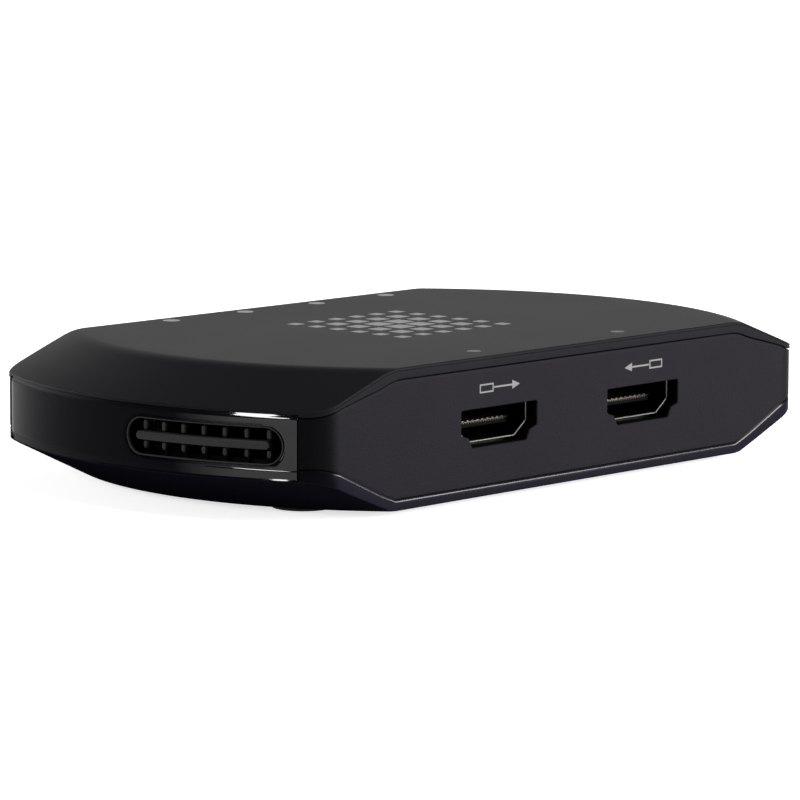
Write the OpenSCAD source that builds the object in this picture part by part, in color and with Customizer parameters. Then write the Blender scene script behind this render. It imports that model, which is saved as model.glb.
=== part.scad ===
// Video capture box: a low round case cut flat at the front and the rear, with a gloss
// band round each side. The origin is on the table under the middle of the case, +Z is
// up, and the two video ports face -Y.

/* [Case] */
// Diameter of the case at the side bands
case_d = 117; // [114:0.5:122]
// Diameter of the flat top and bottom faces
face_d = 96; // [92:0.5:100]
// Distance between the flat front and rear faces
case_depth = 62.4; // [60:0.2:66]
// Height of the case without its feet
case_h = 19.2; // [18.6:0.1:21]
// Height of the sloping rim above the side bands
top_bevel = 4.7; // [4:0.1:5.2]
// Height of the sloping rim below the side bands
bottom_bevel = 5.3; // [4.6:0.1:5.6]
// Radius of the four upright corners
corner_r = 6; // [5:0.1:7]
// Softening radius between the top face and its sloping rim
top_soft_r = 7; // [4:0.5:9]
// Wall thickness of both covers
cover_wall = 1.5; // [1.3:0.1:1.8]
// Width of the dark parting line round the end panels
seam = 0.3; // [0.2:0.05:0.4]
// Clearance between pieces that sit against each other
fit_gap = 0.05; // [0.02:0.01:0.1]

/* [End panels] */
// Thickness of the front and rear panels
panel_t = 2; // [1.8:0.1:2.4]
// Depth of the parting line round a panel
seam_depth = 0.8; // [0.5:0.1:1]
// Height of the dark gap above and below a panel's wrapped corners
corner_gap = 0.9; // [0.6:0.1:1.2]

/* [Side bands] */
// Thickness of a side band
band_t = 1.7; // [1.4:0.1:2]
// Height of the chamfers along a band's long edges
band_chamfer_h = 1.3; // [0.8:0.1:1.6]
// Depth of the chamfers along a band's long edges
band_chamfer_d = 0.5; // [0.2:0.05:0.8]

/* [Vents] */
// Distance of a vent's front end from the front end of its band
vent_end_gap = 2.2; // [1.6:0.1:4]
// Length of a vent's opening
vent_l = 24; // [20:0.5:25]
// Height of a vent's opening
vent_h = 4.8; // [4:0.1:5.2]
// Depth of a grille behind its band
grille_t = 1.2; // [0.8:0.1:1.6]
// Width of a grille's rim round the vent
grille_rim = 0.9; // [0.6:0.1:1.1]
// Number of posts in a grille
post_count = 7; // [5:1:7]
// Distance between the posts
post_pitch = 3.2; // [2.8:0.1:3.3]
// Width of a post
post_w = 0.85; // [0.6:0.05:1.2]
// Height of the cross bar
bar_h = 1; // [0.7:0.05:1.4]
// Length of the cross bar
bar_l = 21; // [18:0.5:22]
// Depth of the cross bar's face below the band's face
bar_recess = 0.8; // [0.5:0.1:1.2]

/* [Video ports] */
// Distance between the middles of the two video ports
port_pitch = 30.3; // [28:0.1:34]
// Height of the ports' middle above the bottom of the case
port_rise = 9.7; // [9.2:0.1:10.2]
// Width inside a port's metal shell
port_w = 14; // [13.6:0.1:14.2]
// Width inside the shell's narrow lower edge
port_low_w = 9.4; // [8.8:0.1:10]
// Height inside a port's metal shell
port_h = 4.55; // [4.4:0.05:4.7]
// Height of the shell's slanted lower corners
port_slant_h = 1.8; // [1.4:0.1:2.2]
// Sheet thickness of the metal shells
shell_t = 0.3; // [0.25:0.05:0.4]
// Length of a port's metal shell
port_l = 11; // [10:0.5:12]
// Side clearance of the panel's cutout round a shell
port_side_gap = 0.5; // [0.3:0.05:0.7]
// Width of a port's tongue
tongue_w = 10.8; // [10:0.1:11.2]
// Thickness of a port's tongue
tongue_t = 0.85; // [0.7:0.05:1]
// Depth of a tongue's front edge behind the shell's mouth
tongue_inset = 1.6; // [1.5:0.1:2]
// Depth of the plastic block at the back of a port
insert_l = 3; // [2.5:0.1:4]
// Contacts on the upper side of a tongue
contact_count = 10; // [8:1:10]
// Distance between contacts
contact_pitch = 1; // [0.9:0.05:1.05]
// Width of a contact
contact_w = 0.45; // [0.3:0.05:0.6]
// Thickness of a contact
contact_t = 0.12; // [0.08:0.02:0.2]

/* [Rear connectors] */
// Distance between the middles of the rear connectors
rear_pitch = 15; // [14:0.1:15.5]
// Place of the first rear connector, the data connector, from the middle
rear_start = -20; // [-22:0.5:-18]
// Width inside the data connector's shell
data_w = 8.34; // [8.2:0.02:8.5]
// Height inside the data connector's shell
data_h = 2.56; // [2.4:0.02:2.7]
// Length of the data connector
data_l = 7.4; // [6.5:0.1:8]
// Clearance round the data connector in the rear panel
data_gap = 0.4; // [0.2:0.05:0.6]
// Width of the data connector's tongue
data_tongue_w = 6.7; // [6.2:0.1:6.9]
// Thickness of the data connector's tongue
data_tongue_t = 0.7; // [0.6:0.05:0.8]
// Bore of an audio jack
jack_bore = 3.6; // [3.5:0.05:3.7]
// Diameter of an audio jack's barrel
jack_barrel_d = 5.8; // [5.2:0.1:6.2]
// Width of an audio jack's body
jack_w = 6.4; // [6.2:0.1:7]
// Height of an audio jack's body
jack_h = 5.2; // [5:0.1:5.6]
// Length of an audio jack's body
jack_l = 12; // [11:0.5:13]
// Radial clearance of a jack's barrel in the rear panel
jack_gap = 0.2; // [0.1:0.05:0.4]
// Depth of the plastic block at the back of the data connector
data_block_l = 1.8; // [1.4:0.1:2.2]
// Depth of the data tongue's front edge behind the shell's mouth
data_inset = 0.5; // [0.3:0.1:0.8]

/* [Board] */
// Thickness of the main board
board_t = 1.2; // [1:0.1:1.6]
// Space between the board's round ends and the side bands
board_end_gap = 4.8; // [3.8:0.1:6.8]
// Space between the board's straight edges and the end panels
board_margin = 1.2; // [0.8:0.1:2]
// Space between the light pipes and the video chips behind them
chip_gap = 1.65; // [1:0.05:2.5]
// Space between the video chips and the memory chips behind them
memory_gap = 1.5; // [1:0.1:3]
// Distance of the crystal in front of the rear indicator lamps
crystal_step = 4.15; // [3.4:0.05:5]
// Side of the capture chip
chip_w = 15; // [12:0.5:17]
// Height of the capture chip
chip_h = 1.2; // [0.9:0.1:1.4]
// Thickness of the thermal pad
pad_t = 0.6; // [0.4:0.1:1]
// Space between the heat sink and the nearest light pipes
sink_gap = 1.15; // [0.8:0.05:3]
// Thickness of the heat sink's base
sink_base_t = 1.4; // [1:0.1:2]
// Height of the heat sink's fins
sink_fin_h = 3.6; // [2.5:0.1:4]
// Thickness of a fin
sink_fin_t = 0.8; // [0.6:0.1:1]
// Number of fins
sink_fins = 9; // [7:1:9]

/* [Indicators] */
// Diameter of the front indicator windows
front_lamp_d = 2; // [1.6:0.1:2.4]
// Diameter of the rear indicator windows
rear_lamp_d = 2.5; // [2:0.1:3]
// Distance of the front windows from the front face
front_lamp_in = 5; // [4.4:0.1:6]
// Distance of the rear windows from the rear face
rear_lamp_in = 2.8; // [2.5:0.1:3.4]
// Width of a light pipe's arm
pipe_w = 2; // [1.6:0.1:2.2]
// Side of an indicator lamp on the board
lamp_w = 1.6; // [1.2:0.1:2]
// Height of an indicator lamp
lamp_h = 0.7; // [0.5:0.1:1]
// Distance of the lamps behind the back of the connectors
lamp_step = 2; // [1.6:0.1:2.4]
// Room between the connectors and the light pipes above them
pipe_gap = 0.5; // [0.3:0.1:1]
// Clearance round the light pipes where they pass the rear panel
notch_gap = 0.1; // [0.05:0.05:0.3]

/* [Top inlay] */
// Distance of the inlay's middle behind the middle of the case
inlay_y = 2; // [-4:0.5:4]
// Tiles along one side of the square field
inlay_count = 6; // [4:1:6]
// Distance between tiles
inlay_pitch = 4.2; // [4:0.1:4.6]
// Side of the largest tiles, in the middle of the field
inlay_tile = 3.5; // [3:0.1:3.7]
// How much smaller each ring of tiles is than the ring inside it
inlay_step = 0.7; // [0.3:0.1:0.8]
// Thickness of the tiles
inlay_t = 0.4; // [0.3:0.05:0.6]

/* [Fasteners and feet] */
// Distance of the screws from the middle, along the width
screw_x = 38; // [37:0.5:39]
// Distance of the screws from the middle, along the depth
screw_y = 16; // [14:0.5:17]
// Thread diameter of the case screws
screw_d = 2.5; // [2:0.1:2.6]
// Head diameter of the case screws
screw_head_d = 4.4; // [4:0.1:4.6]
// Head height of the case screws
screw_head_h = 1.5; // [1.2:0.1:1.8]
// Length of the case screws below the head
screw_l = 12; // [10:0.5:13]
// Room above the tip of a case screw
screw_tip_gap = 0.5; // [0.3:0.1:1]
// Wall of the screw posts
post_wall = 1.1; // [0.8:0.1:1.4]
// Radial clearance of the screws in the main board
board_hole_gap = 0.1; // [0.05:0.05:0.2]
// Distance of the front board screw from the middle, towards the front
board_screw_front = 22; // [21:0.5:24]
// Distance of the rear board screw from the middle, towards the rear
board_screw_rear = 20; // [19:0.5:23]
// Thread diameter of the board screws
board_screw_d = 2; // [1.6:0.1:2.2]
// Head diameter of the board screws
board_head_d = 3.6; // [3:0.1:4]
// Head height of the board screws
board_head_h = 1.2; // [0.9:0.1:1.4]
// Diameter of a rubber foot
foot_d = 9; // [7.5:0.5:10]
// Height that a foot stands below the case
foot_proud = 0.8; // [0.6:0.1:1.2]
// Depth of a foot's pocket in the bottom cover
foot_pocket = 0.6; // [0.4:0.1:0.8]

/* [Hidden] */
$fn = 96;

// Heights of the case, from the table
z_bottom = foot_proud;
z_top = z_bottom + case_h;
z_low = z_bottom + bottom_bevel;
z_high = z_top - top_bevel;
z_mid = (z_low + z_high) / 2;
// Plan of the case
r_band = case_d / 2;
r_face = face_d / 2;
half_depth = case_depth / 2;
corner_y = half_depth - corner_r;
corner_x = sqrt(pow(r_band - corner_r, 2) - pow(corner_y, 2));
corner_angle = atan2(corner_y, corner_x);
vent_turn = corner_angle - (vent_end_gap + vent_l / 2) / r_band * 180 / PI;
top_slope = atan2(top_bevel, r_band - r_face);
bottom_slope = atan2(bottom_bevel, r_band - r_face);
soft_steps = 6;
soft_centre = [r_face - top_soft_r * tan(top_slope / 2), z_top - top_soft_r];
// A length that reaches past everything, and a small overlap for clean cuts
far = 2 * case_d;
over = 0.5;
// Video ports
port_z = z_bottom + port_rise;
port_front = -half_depth + panel_t + fit_gap;
port_back = port_front + port_l;
tongue_front = port_front + tongue_inset;
// Board and what stands on it
board_top = port_z - port_h / 2 - shell_t;
board_bottom = board_top - board_t;
board_half_y = half_depth - panel_t - board_margin;
board_d = case_d - 2 * (band_t + board_end_gap);
floor_top = z_bottom + cover_wall;
ceiling = z_top - cover_wall;
// Rear connectors, from the data connector to the last jack
rear_places = [for (k = [0:3]) rear_start + k * rear_pitch];
data_z = board_top + data_h / 2 + shell_t;
jack_z = board_top + jack_h / 2;
jack_back = half_depth - panel_t - fit_gap;
// Light pipes rise behind the connectors and reach forward over them
pipe_z = max(port_z + port_h / 2 + shell_t, board_top + jack_h) + pipe_gap;
front_places = [-port_pitch / 2, port_pitch / 2];
front_lamp_y = port_back + lamp_step;
rear_lamp_y = jack_back - jack_l - lamp_step;
// The heat sink lies between the two rows of light pipes
sink_w = 2 * (min(-front_lamp_y, rear_lamp_y) - pipe_w / 2 - sink_gap);
// Screws
head_floor = z_bottom + foot_pocket + screw_head_h;
pilot_top = head_floor + screw_l + screw_tip_gap;
screw_post_r = screw_head_d / 2 + fit_gap + post_wall;
board_screw_places = [[0, -board_screw_front], [rear_start + 1.5 * rear_pitch, board_screw_rear]];
board_screw_l = board_top - floor_top - screw_tip_gap;

// Places of the chips on the board, and their sizes
memory_size = [8, 10, 1];
video_chip_size = [9, 9, 0.9];
video_chip_y = front_lamp_y + pipe_w / 2 + chip_gap + video_chip_size[1] / 2;
memory_y = video_chip_y + video_chip_size[1] / 2 + memory_gap + memory_size[1] / 2;
memory_places = [[-21, memory_y], [21, memory_y]];
codec_size = [5, 5, 0.9];
codec_place = [31, 6];
flash_size = [6, 5, 0.9];
flash_place = [-31, 12];
crystal_size = [3.2, 2.5, 0.8];
crystal_place = [10.5, rear_lamp_y - crystal_step];
inductor_size = [6, 6, 3];
inductor_places = [[-31, -4], [-31, 4], [31, -4]];
capacitor_d = 5;
capacitor_h = 5.4;
capacitor_places = [[-29, -12], [29, -12]];
// Contact pads of the data connector, on each side of its tongue
data_pads = 12;
data_pad_pitch = 0.5;
data_pad_w = 0.28;
data_pad_t = 0.08;
data_pad_inset = 1;

// Outline of the case in section, drawn in from the outside by a distance
function section(inset) = [
  [0, z_bottom + inset],
  [r_face - inset * tan(bottom_slope / 2), z_bottom + inset],
  [r_band - inset, z_low + inset * tan((90 - bottom_slope) / 2)],
  [r_band - inset, z_high - inset * tan((90 - top_slope) / 2)],
  [r_face - inset * tan(top_slope / 2), z_top - inset],
  [0, z_top - inset]
];

// Point of the softened top edge at an angle from the top face
function soft_point(angle) = soft_centre + top_soft_r * [sin(angle), cos(angle)];

// Outline of the upper half of the case, with its top edge softened by an arc
function soft_top_section() = concat(
  [[0, z_high], [r_band, z_high]],
  [for (k = [soft_steps:-1:0]) soft_point(k * top_slope / soft_steps)],
  [[0, z_top]]
);

// The round body of the case before its flats are cut
module round_body(inset = 0) {
  rotate_extrude() polygon(section(inset));
}

// One upright corner outside its rounding
module corner_waste(inset) {
  reach = 3 * corner_r;
  translate([corner_x, corner_y]) difference() {
    polygon([[0, 0], [0, reach], [reach, reach], reach * [cos(corner_angle), sin(corner_angle)]]);
    circle(r = corner_r - inset);
  }
}

// Plan of the case at its widest, drawn in by a distance
module plan(inset = 0) {
  difference() {
    intersection() {
      circle(r = r_band - inset);
      square([far, case_depth - 2 * inset], center = true);
    }
    for (mx = [0, 1], my = [0, 1]) mirror([mx, 0]) mirror([0, my]) corner_waste(inset);
  }
}

module plan_block(low, high, inset = 0) {
  translate([0, 0, low]) linear_extrude(high - low) plan(inset);
}

module at_screws() {
  for (x = [-1, 1], y = [-1, 1]) translate([x * screw_x, y * screw_y, 0]) children();
}

// A box that stands on a plane, centred over a point
module standing_box(place, size, low) {
  translate([place[0] - size[0] / 2, place[1] - size[1] / 2, low]) cube(size);
}

// Extrudes a shape drawn in X and Z from one depth to another
module along_depth(front, back) {
  translate([0, back, 0]) rotate([90, 0, 0]) linear_extrude(back - front) children();
}

module bottom_cover() {
  post_r = board_screw_d / 2 + post_wall;
  post_h = board_bottom - z_bottom - over;
  color("#141417") difference() {
    union() {
      difference() {
        intersection() {
          round_body();
          plan_block(z_bottom, z_low);
        }
        round_body(cover_wall);
      }
      at_screws() translate([0, 0, z_bottom + over]) cylinder(r = screw_post_r, h = post_h);
      for (p = board_screw_places) {
        translate([p[0], p[1], z_bottom + over]) cylinder(r = post_r, h = post_h);
      }
    }
    at_screws() {
      translate([0, 0, z_bottom - over]) cylinder(d = foot_d + 2 * fit_gap, h = foot_pocket + over);
      translate([0, 0, z_bottom]) cylinder(d = screw_head_d + 2 * fit_gap, h = head_floor - z_bottom);
      translate([0, 0, z_bottom]) cylinder(d = screw_d + 2 * fit_gap, h = far);
    }
    for (p = board_screw_places) {
      translate([p[0], p[1], floor_top]) cylinder(d = board_screw_d + 2 * fit_gap, h = far);
    }
  }
}

module top_cover() {
  boss_r = screw_d / 2 + post_wall;
  color("#1b1b1d") difference() {
    union() {
      difference() {
        intersection() {
          rotate_extrude() polygon(soft_top_section());
          plan_block(z_high, z_top);
        }
        round_body(cover_wall);
      }
      at_screws() translate([0, 0, board_top]) cylinder(r = boss_r, h = z_top - over - board_top);
    }
    at_screws() translate([0, 0, board_top - over])
      cylinder(d = screw_d + 2 * fit_gap, h = pilot_top - board_top + over);
    for (x = front_places) {
      translate([x, front_lamp_in - half_depth, ceiling - over])
        cylinder(d = front_lamp_d + 2 * fit_gap, h = far);
    }
    for (x = rear_places) {
      translate([x, half_depth - rear_lamp_in, ceiling - over])
        cylinder(d = rear_lamp_d + 2 * fit_gap, h = far);
    }
    inlay_field(z_top - inlay_t, inlay_t + over, fit_gap);
  }
}

// Plate in the covers' mouth, at the front, with wrapped corners and a parting line round it
module end_plate() {
  module corner_groove(low, high) {
    difference() {
      plan_block(low, high, -seam_depth);
      plan_block(low - over, high + over, seam_depth);
    }
  }
  module wrapped_corners() {
    intersection() {
      difference() {
        plan_block(z_low + fit_gap, z_high - fit_gap);
        plan_block(z_low, z_high, panel_t);
        corner_groove(z_low, z_low + corner_gap);
        corner_groove(z_high - corner_gap, z_high);
      }
      translate([0, 0, z_low]) linear_extrude(z_high - z_low) polygon([
        [0, 0],
        far * [-cos(corner_angle), -sin(corner_angle)],
        [-far, -far],
        [far, -far],
        far * [cos(corner_angle), -sin(corner_angle)]
      ]);
    }
  }
  module mouth_layer(front, back, gap) {
    intersection() {
      round_body(cover_wall + gap);
      translate([-corner_x, front, z_bottom]) cube([2 * corner_x, back - front, case_h]);
    }
  }
  mouth_layer(-half_depth, -half_depth + seam_depth, seam);
  mouth_layer(-half_depth + seam_depth, -half_depth + panel_t, fit_gap);
  wrapped_corners();
}

// Outline of a video port in X and Z, grown by a distance
function port_outline(grow) =
  let (
    run = (port_w - port_low_w) / 2,
    slant = atan2(port_slant_h, run),
    wide = port_w / 2 + grow,
    narrow = port_low_w / 2 + grow * tan(slant / 2),
    top = port_h / 2 + grow,
    knee = port_slant_h - port_h / 2 - grow * tan((90 - slant) / 2)
  )
  [[-wide, top], [wide, top], [wide, knee], [narrow, -top], [-narrow, -top], [-wide, knee]];

// The panel's cutout is wider than the shell at its sides and as high as the shell
module port_cutout() {
  polygon([for (p = port_outline(shell_t)) [p[0] + sign(p[0]) * port_side_gap, p[1]]]);
}

module data_outline(grow) {
  round_r = data_h / 2 + grow;
  square([data_w - data_h, 2 * round_r], center = true);
  for (x = [-1, 1]) translate([x * (data_w - data_h) / 2, 0]) circle(r = round_r);
}

module front_panel() {
  color("#232326") difference() {
    end_plate();
    for (x = front_places) {
      translate([x, 0, port_z]) along_depth(-far, -half_depth + 2 * panel_t) port_cutout();
    }
  }
}

module rear_panel() {
  notch_w = max(pipe_w, rear_lamp_d) + 2 * notch_gap;
  color("#232326") difference() {
    mirror([0, 1, 0]) end_plate();
    translate([rear_places[0], 0, data_z])
      along_depth(half_depth - 2 * panel_t, far) data_outline(shell_t + data_gap);
    for (k = [1:3]) {
      translate([rear_places[k], 0, jack_z])
        along_depth(half_depth - 2 * panel_t, far) circle(d = jack_barrel_d + 2 * jack_gap);
    }
    for (x = rear_places) {
      standing_box([x, half_depth - rear_lamp_in], [notch_w, notch_w, case_h], pipe_z - notch_gap);
    }
  }
}

// Stadium-shaped hole through the right-hand side, at the vent's angle
module vent_hole(length, height) {
  straight = length - height;
  depth = 2 * (band_t + grille_t + bar_l / 10);
  rotate([0, 0, -vent_turn]) translate([r_band - depth, 0, z_mid]) rotate([90, 0, 90])
    linear_extrude(2 * depth) {
      square([straight, height], center = true);
      for (x = [-1, 1]) translate([x * straight / 2, 0]) circle(d = height);
    }
}

// Part of a ring on the right-hand side, between two angles about the X axis
module ring_arc(start, stop) {
  rotate([0, 0, start]) rotate_extrude(angle = stop - start) children();
}

// Band on the right-hand side
module side_band() {
  inner = r_band - band_t;
  low = z_low + fit_gap;
  high = z_high - fit_gap;
  end_angle = corner_angle - seam / r_band * 180 / PI;
  difference() {
    ring_arc(-end_angle, end_angle) polygon([
      [inner, low],
      [r_band - band_chamfer_d, low],
      [r_band, low + band_chamfer_h],
      [r_band, high - band_chamfer_h],
      [r_band - band_chamfer_d, high],
      [inner, high]
    ]);
    vent_hole(vent_l, vent_h);
  }
}

module right_band() {
  color("#08080a") side_band();
}

module left_band() {
  color("#08080a") mirror([1, 0, 0]) side_band();
}

// Grille on the right-hand side: a rim behind the band, posts across it and a bar in front of them
module vent_grille() {
  outer = r_band - band_t - fit_gap;
  inner = outer - grille_t;
  rim_l = vent_l + 2 * grille_rim;
  rim_h = vent_h + 2 * grille_rim;
  post_h = vent_h + grille_rim;
  turn = 180 / PI / r_band;
  bar_face = r_band - bar_recess;
  bar_back = outer - grille_t / 2;
  difference() {
    ring_arc(-vent_turn - rim_l / 2 * turn, -vent_turn + rim_l / 2 * turn)
      translate([inner, z_mid - rim_h / 2]) square([grille_t, rim_h]);
    vent_hole(vent_l, vent_h);
  }
  for (k = [0:post_count - 1]) {
    rotate([0, 0, -vent_turn + (k - (post_count - 1) / 2) * post_pitch * turn])
      translate([inner + fit_gap, -post_w / 2, z_mid - post_h / 2])
        cube([grille_t - 2 * fit_gap, post_w, post_h]);
  }
  ring_arc(-vent_turn - bar_l / 2 * turn, -vent_turn + bar_l / 2 * turn)
    translate([bar_back, z_mid - bar_h / 2]) square([bar_face - bar_back, bar_h]);
}

module right_vent_grille() {
  color("#2c2c30") vent_grille();
}

module left_vent_grille() {
  color("#2c2c30") mirror([1, 0, 0]) vent_grille();
}

module main_board() {
  color("#123a24") difference() {
    intersection() {
      translate([0, 0, board_bottom]) cylinder(d = board_d, h = board_t);
      translate([-far / 2, -board_half_y, board_bottom]) cube([far, 2 * board_half_y, board_t]);
    }
    at_screws() translate([0, 0, board_bottom - over])
      cylinder(d = screw_d + 2 * board_hole_gap, h = board_t + 2 * over);
    for (p = board_screw_places) {
      translate([p[0], p[1], board_bottom - over])
        cylinder(d = board_screw_d + 2 * board_hole_gap, h = board_t + 2 * over);
    }
  }
}

module port_shell(x) {
  translate([x, 0, port_z]) along_depth(port_front, port_back) difference() {
    polygon(port_outline(shell_t));
    polygon(port_outline(0));
  }
}

module port_insert(x) {
  translate([x, 0, port_z]) {
    along_depth(port_back - insert_l, port_back) polygon(port_outline(-fit_gap));
    along_depth(tongue_front, port_back - insert_l / 2) square([tongue_w, tongue_t], center = true);
  }
}

// Contacts lie on both sides of a tongue, one fewer below than above
module port_contacts(x) {
  for (side = [-1, 1]) {
    count = side > 0 ? contact_count : contact_count - 1;
    for (k = [0:count - 1]) {
      translate([
        x + (k - (count - 1) / 2) * contact_pitch - contact_w / 2,
        tongue_front,
        port_z + side * (tongue_t + contact_t) / 2 - contact_t / 2
      ]) cube([contact_w, port_back - insert_l - tongue_front, contact_t]);
    }
  }
}

module video_out_shell() {
  color("#b9bbbe") port_shell(-port_pitch / 2);
}

module video_in_shell() {
  color("#b9bbbe") port_shell(port_pitch / 2);
}

module video_out_insert() {
  color("#101012") port_insert(-port_pitch / 2);
}

module video_in_insert() {
  color("#101012") port_insert(port_pitch / 2);
}

module video_out_contacts() {
  color("#d8b45a") port_contacts(-port_pitch / 2);
}

module video_in_contacts() {
  color("#d8b45a") port_contacts(port_pitch / 2);
}

module data_shell() {
  color("#b9bbbe") translate([rear_places[0], 0, data_z]) {
    along_depth(jack_back - data_l, jack_back) difference() {
      data_outline(shell_t);
      data_outline(0);
    }
  }
}

module data_tongue() {
  back = jack_back - data_l;
  color("#101012") translate([rear_places[0], 0, data_z]) {
    along_depth(back, back + data_block_l) data_outline(-fit_gap);
    along_depth(back + data_block_l / 2, jack_back - data_inset)
      square([data_tongue_w, data_tongue_t], center = true);
  }
}

module data_contacts() {
  back = jack_back - data_l + data_block_l;
  color("#d8b45a") for (side = [-1, 1], k = [0:data_pads - 1]) {
    translate([
      rear_places[0] + (k - (data_pads - 1) / 2) * data_pad_pitch - data_pad_w / 2,
      back,
      data_z + side * (data_tongue_t + data_pad_t) / 2 - data_pad_t / 2
    ]) cube([data_pad_w, jack_back - data_pad_inset - back, data_pad_t]);
  }
}

module audio_jack(x) {
  difference() {
    union() {
      standing_box([x, jack_back - jack_l / 2], [jack_w, jack_l, jack_h], board_top);
      translate([x, 0, jack_z]) along_depth(jack_back - over, half_depth) circle(d = jack_barrel_d);
    }
    translate([x, 0, jack_z]) along_depth(jack_back - jack_l + over, far) circle(d = jack_bore);
  }
}

module line_in_jack() {
  color("#17171a") audio_jack(rear_places[1]);
}

module headset_jack() {
  color("#17171a") audio_jack(rear_places[2]);
}

module microphone_jack() {
  color("#17171a") audio_jack(rear_places[3]);
}

module capture_chip() {
  color("#1a1a1c") standing_box([0, 0], [chip_w, chip_w, chip_h], board_top);
}

module thermal_pad() {
  color("#8a93a0") standing_box([0, 0], [chip_w, chip_w, pad_t], board_top + chip_h);
}

module heat_sink() {
  base = board_top + chip_h + pad_t;
  pitch = (sink_w - sink_fin_t) / (sink_fins - 1);
  color("#3a3c40") {
    standing_box([0, 0], [sink_w, sink_w, sink_base_t], base);
    for (k = [0:sink_fins - 1]) {
      place = [0, (k - (sink_fins - 1) / 2) * pitch];
      standing_box(place, [sink_w, sink_fin_t, sink_base_t + sink_fin_h], base);
    }
  }
}

module memory_chips() {
  color("#1a1a1c") for (p = memory_places) standing_box(p, memory_size, board_top);
}

module receiver_chip() {
  color("#1a1a1c") standing_box([port_pitch / 2, video_chip_y], video_chip_size, board_top);
}

module driver_chip() {
  color("#1a1a1c") standing_box([-port_pitch / 2, video_chip_y], video_chip_size, board_top);
}

module audio_codec() {
  color("#1a1a1c") standing_box(codec_place, codec_size, board_top);
}

module flash_chip() {
  color("#1a1a1c") standing_box(flash_place, flash_size, board_top);
}

module crystal() {
  color("#c4c6c8") standing_box(crystal_place, crystal_size, board_top);
}

module power_inductors() {
  color("#4a4a4c") for (p = inductor_places) standing_box(p, inductor_size, board_top);
}

module bulk_capacitors() {
  color("#c4c6c8") for (p = capacitor_places) {
    translate([p[0], p[1], board_top]) cylinder(d = capacitor_d, h = capacitor_h);
  }
}

module lamps(places, y) {
  for (x = places) standing_box([x, y], [lamp_w, lamp_w, lamp_h], board_top);
}

module front_lamps() {
  color("#f2efe2") lamps(front_places, front_lamp_y);
}

module rear_lamps() {
  color("#f2efe2") lamps(rear_places, rear_lamp_y);
}

// A light pipe stands over its lamp, reaches to its window and ends flush with the top face
module light_pipe(x, lamp_y, window_y, window_d) {
  near = min(lamp_y, window_y) - pipe_w / 2;
  reach = abs(window_y - lamp_y) + pipe_w;
  lamp_top = board_top + lamp_h + fit_gap;
  standing_box([x, lamp_y], [pipe_w, pipe_w, pipe_z + pipe_w - lamp_top], lamp_top);
  translate([x - pipe_w / 2, near, pipe_z]) cube([pipe_w, reach, pipe_w]);
  translate([x, window_y, pipe_z]) cylinder(d = window_d, h = z_top - pipe_z);
}

module front_light_pipes() {
  window_y = front_lamp_in - half_depth;
  color("#cfd2d6") for (x = front_places) light_pipe(x, front_lamp_y, window_y, front_lamp_d);
}

module rear_light_pipes() {
  window_y = half_depth - rear_lamp_in;
  color("#cfd2d6") for (x = rear_places) light_pipe(x, rear_lamp_y, window_y, rear_lamp_d);
}

module screw(head_d, head_h, shaft_d, shaft_l) {
  cylinder(d = head_d, h = head_h);
  cylinder(d = shaft_d, h = head_h + shaft_l);
}

// Case screws go up through the board into the top cover, with their heads under the feet
module case_screws() {
  color("#6d6f73") at_screws() translate([0, 0, head_floor - screw_head_h])
    screw(screw_head_d, screw_head_h, screw_d, screw_l);
}

// Board screws go down into the bottom cover's posts
module board_screws() {
  color("#6d6f73") for (p = board_screw_places) translate([p[0], p[1], board_top + board_head_h]) {
    mirror([0, 0, 1]) screw(board_head_d, board_head_h, board_screw_d, board_screw_l);
  }
}

module rubber_feet() {
  color("#0c0c0d") at_screws() cylinder(d = foot_d, h = foot_proud + foot_pocket);
}

// Square tiles that get smaller from the middle of their field outwards
module inlay_field(low, height, grow) {
  middle = (inlay_count - 1) / 2;
  inner_ring = inlay_count % 2 == 0 ? 0.5 : 0;
  for (i = [0:inlay_count - 1], j = [0:inlay_count - 1]) {
    ring = max(abs(i - middle), abs(j - middle)) - inner_ring;
    side = inlay_tile - ring * inlay_step + 2 * grow;
    place = [(i - middle) * inlay_pitch, inlay_y + (j - middle) * inlay_pitch];
    standing_box(place, [side, side, height], low);
  }
}

module top_inlay() {
  color("#050506") inlay_field(z_top - inlay_t, inlay_t, 0);
}

bottom_cover();
top_cover();
front_panel();
rear_panel();
left_band();
right_band();
left_vent_grille();
right_vent_grille();
main_board();
video_out_shell();
video_in_shell();
video_out_insert();
video_in_insert();
video_out_contacts();
video_in_contacts();
data_shell();
data_tongue();
data_contacts();
line_in_jack();
headset_jack();
microphone_jack();
capture_chip();
thermal_pad();
heat_sink();
memory_chips();
receiver_chip();
driver_chip();
audio_codec();
flash_chip();
crystal();
power_inductors();
bulk_capacitors();
front_lamps();
rear_lamps();
front_light_pipes();
rear_light_pipes();
board_screws();
case_screws();
rubber_feet();
top_inlay();
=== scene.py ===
import math

import bmesh
import bpy
from mathutils import Euler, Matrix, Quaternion, Vector
from mathutils.geometry import delaunay_2d_cdt


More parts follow.
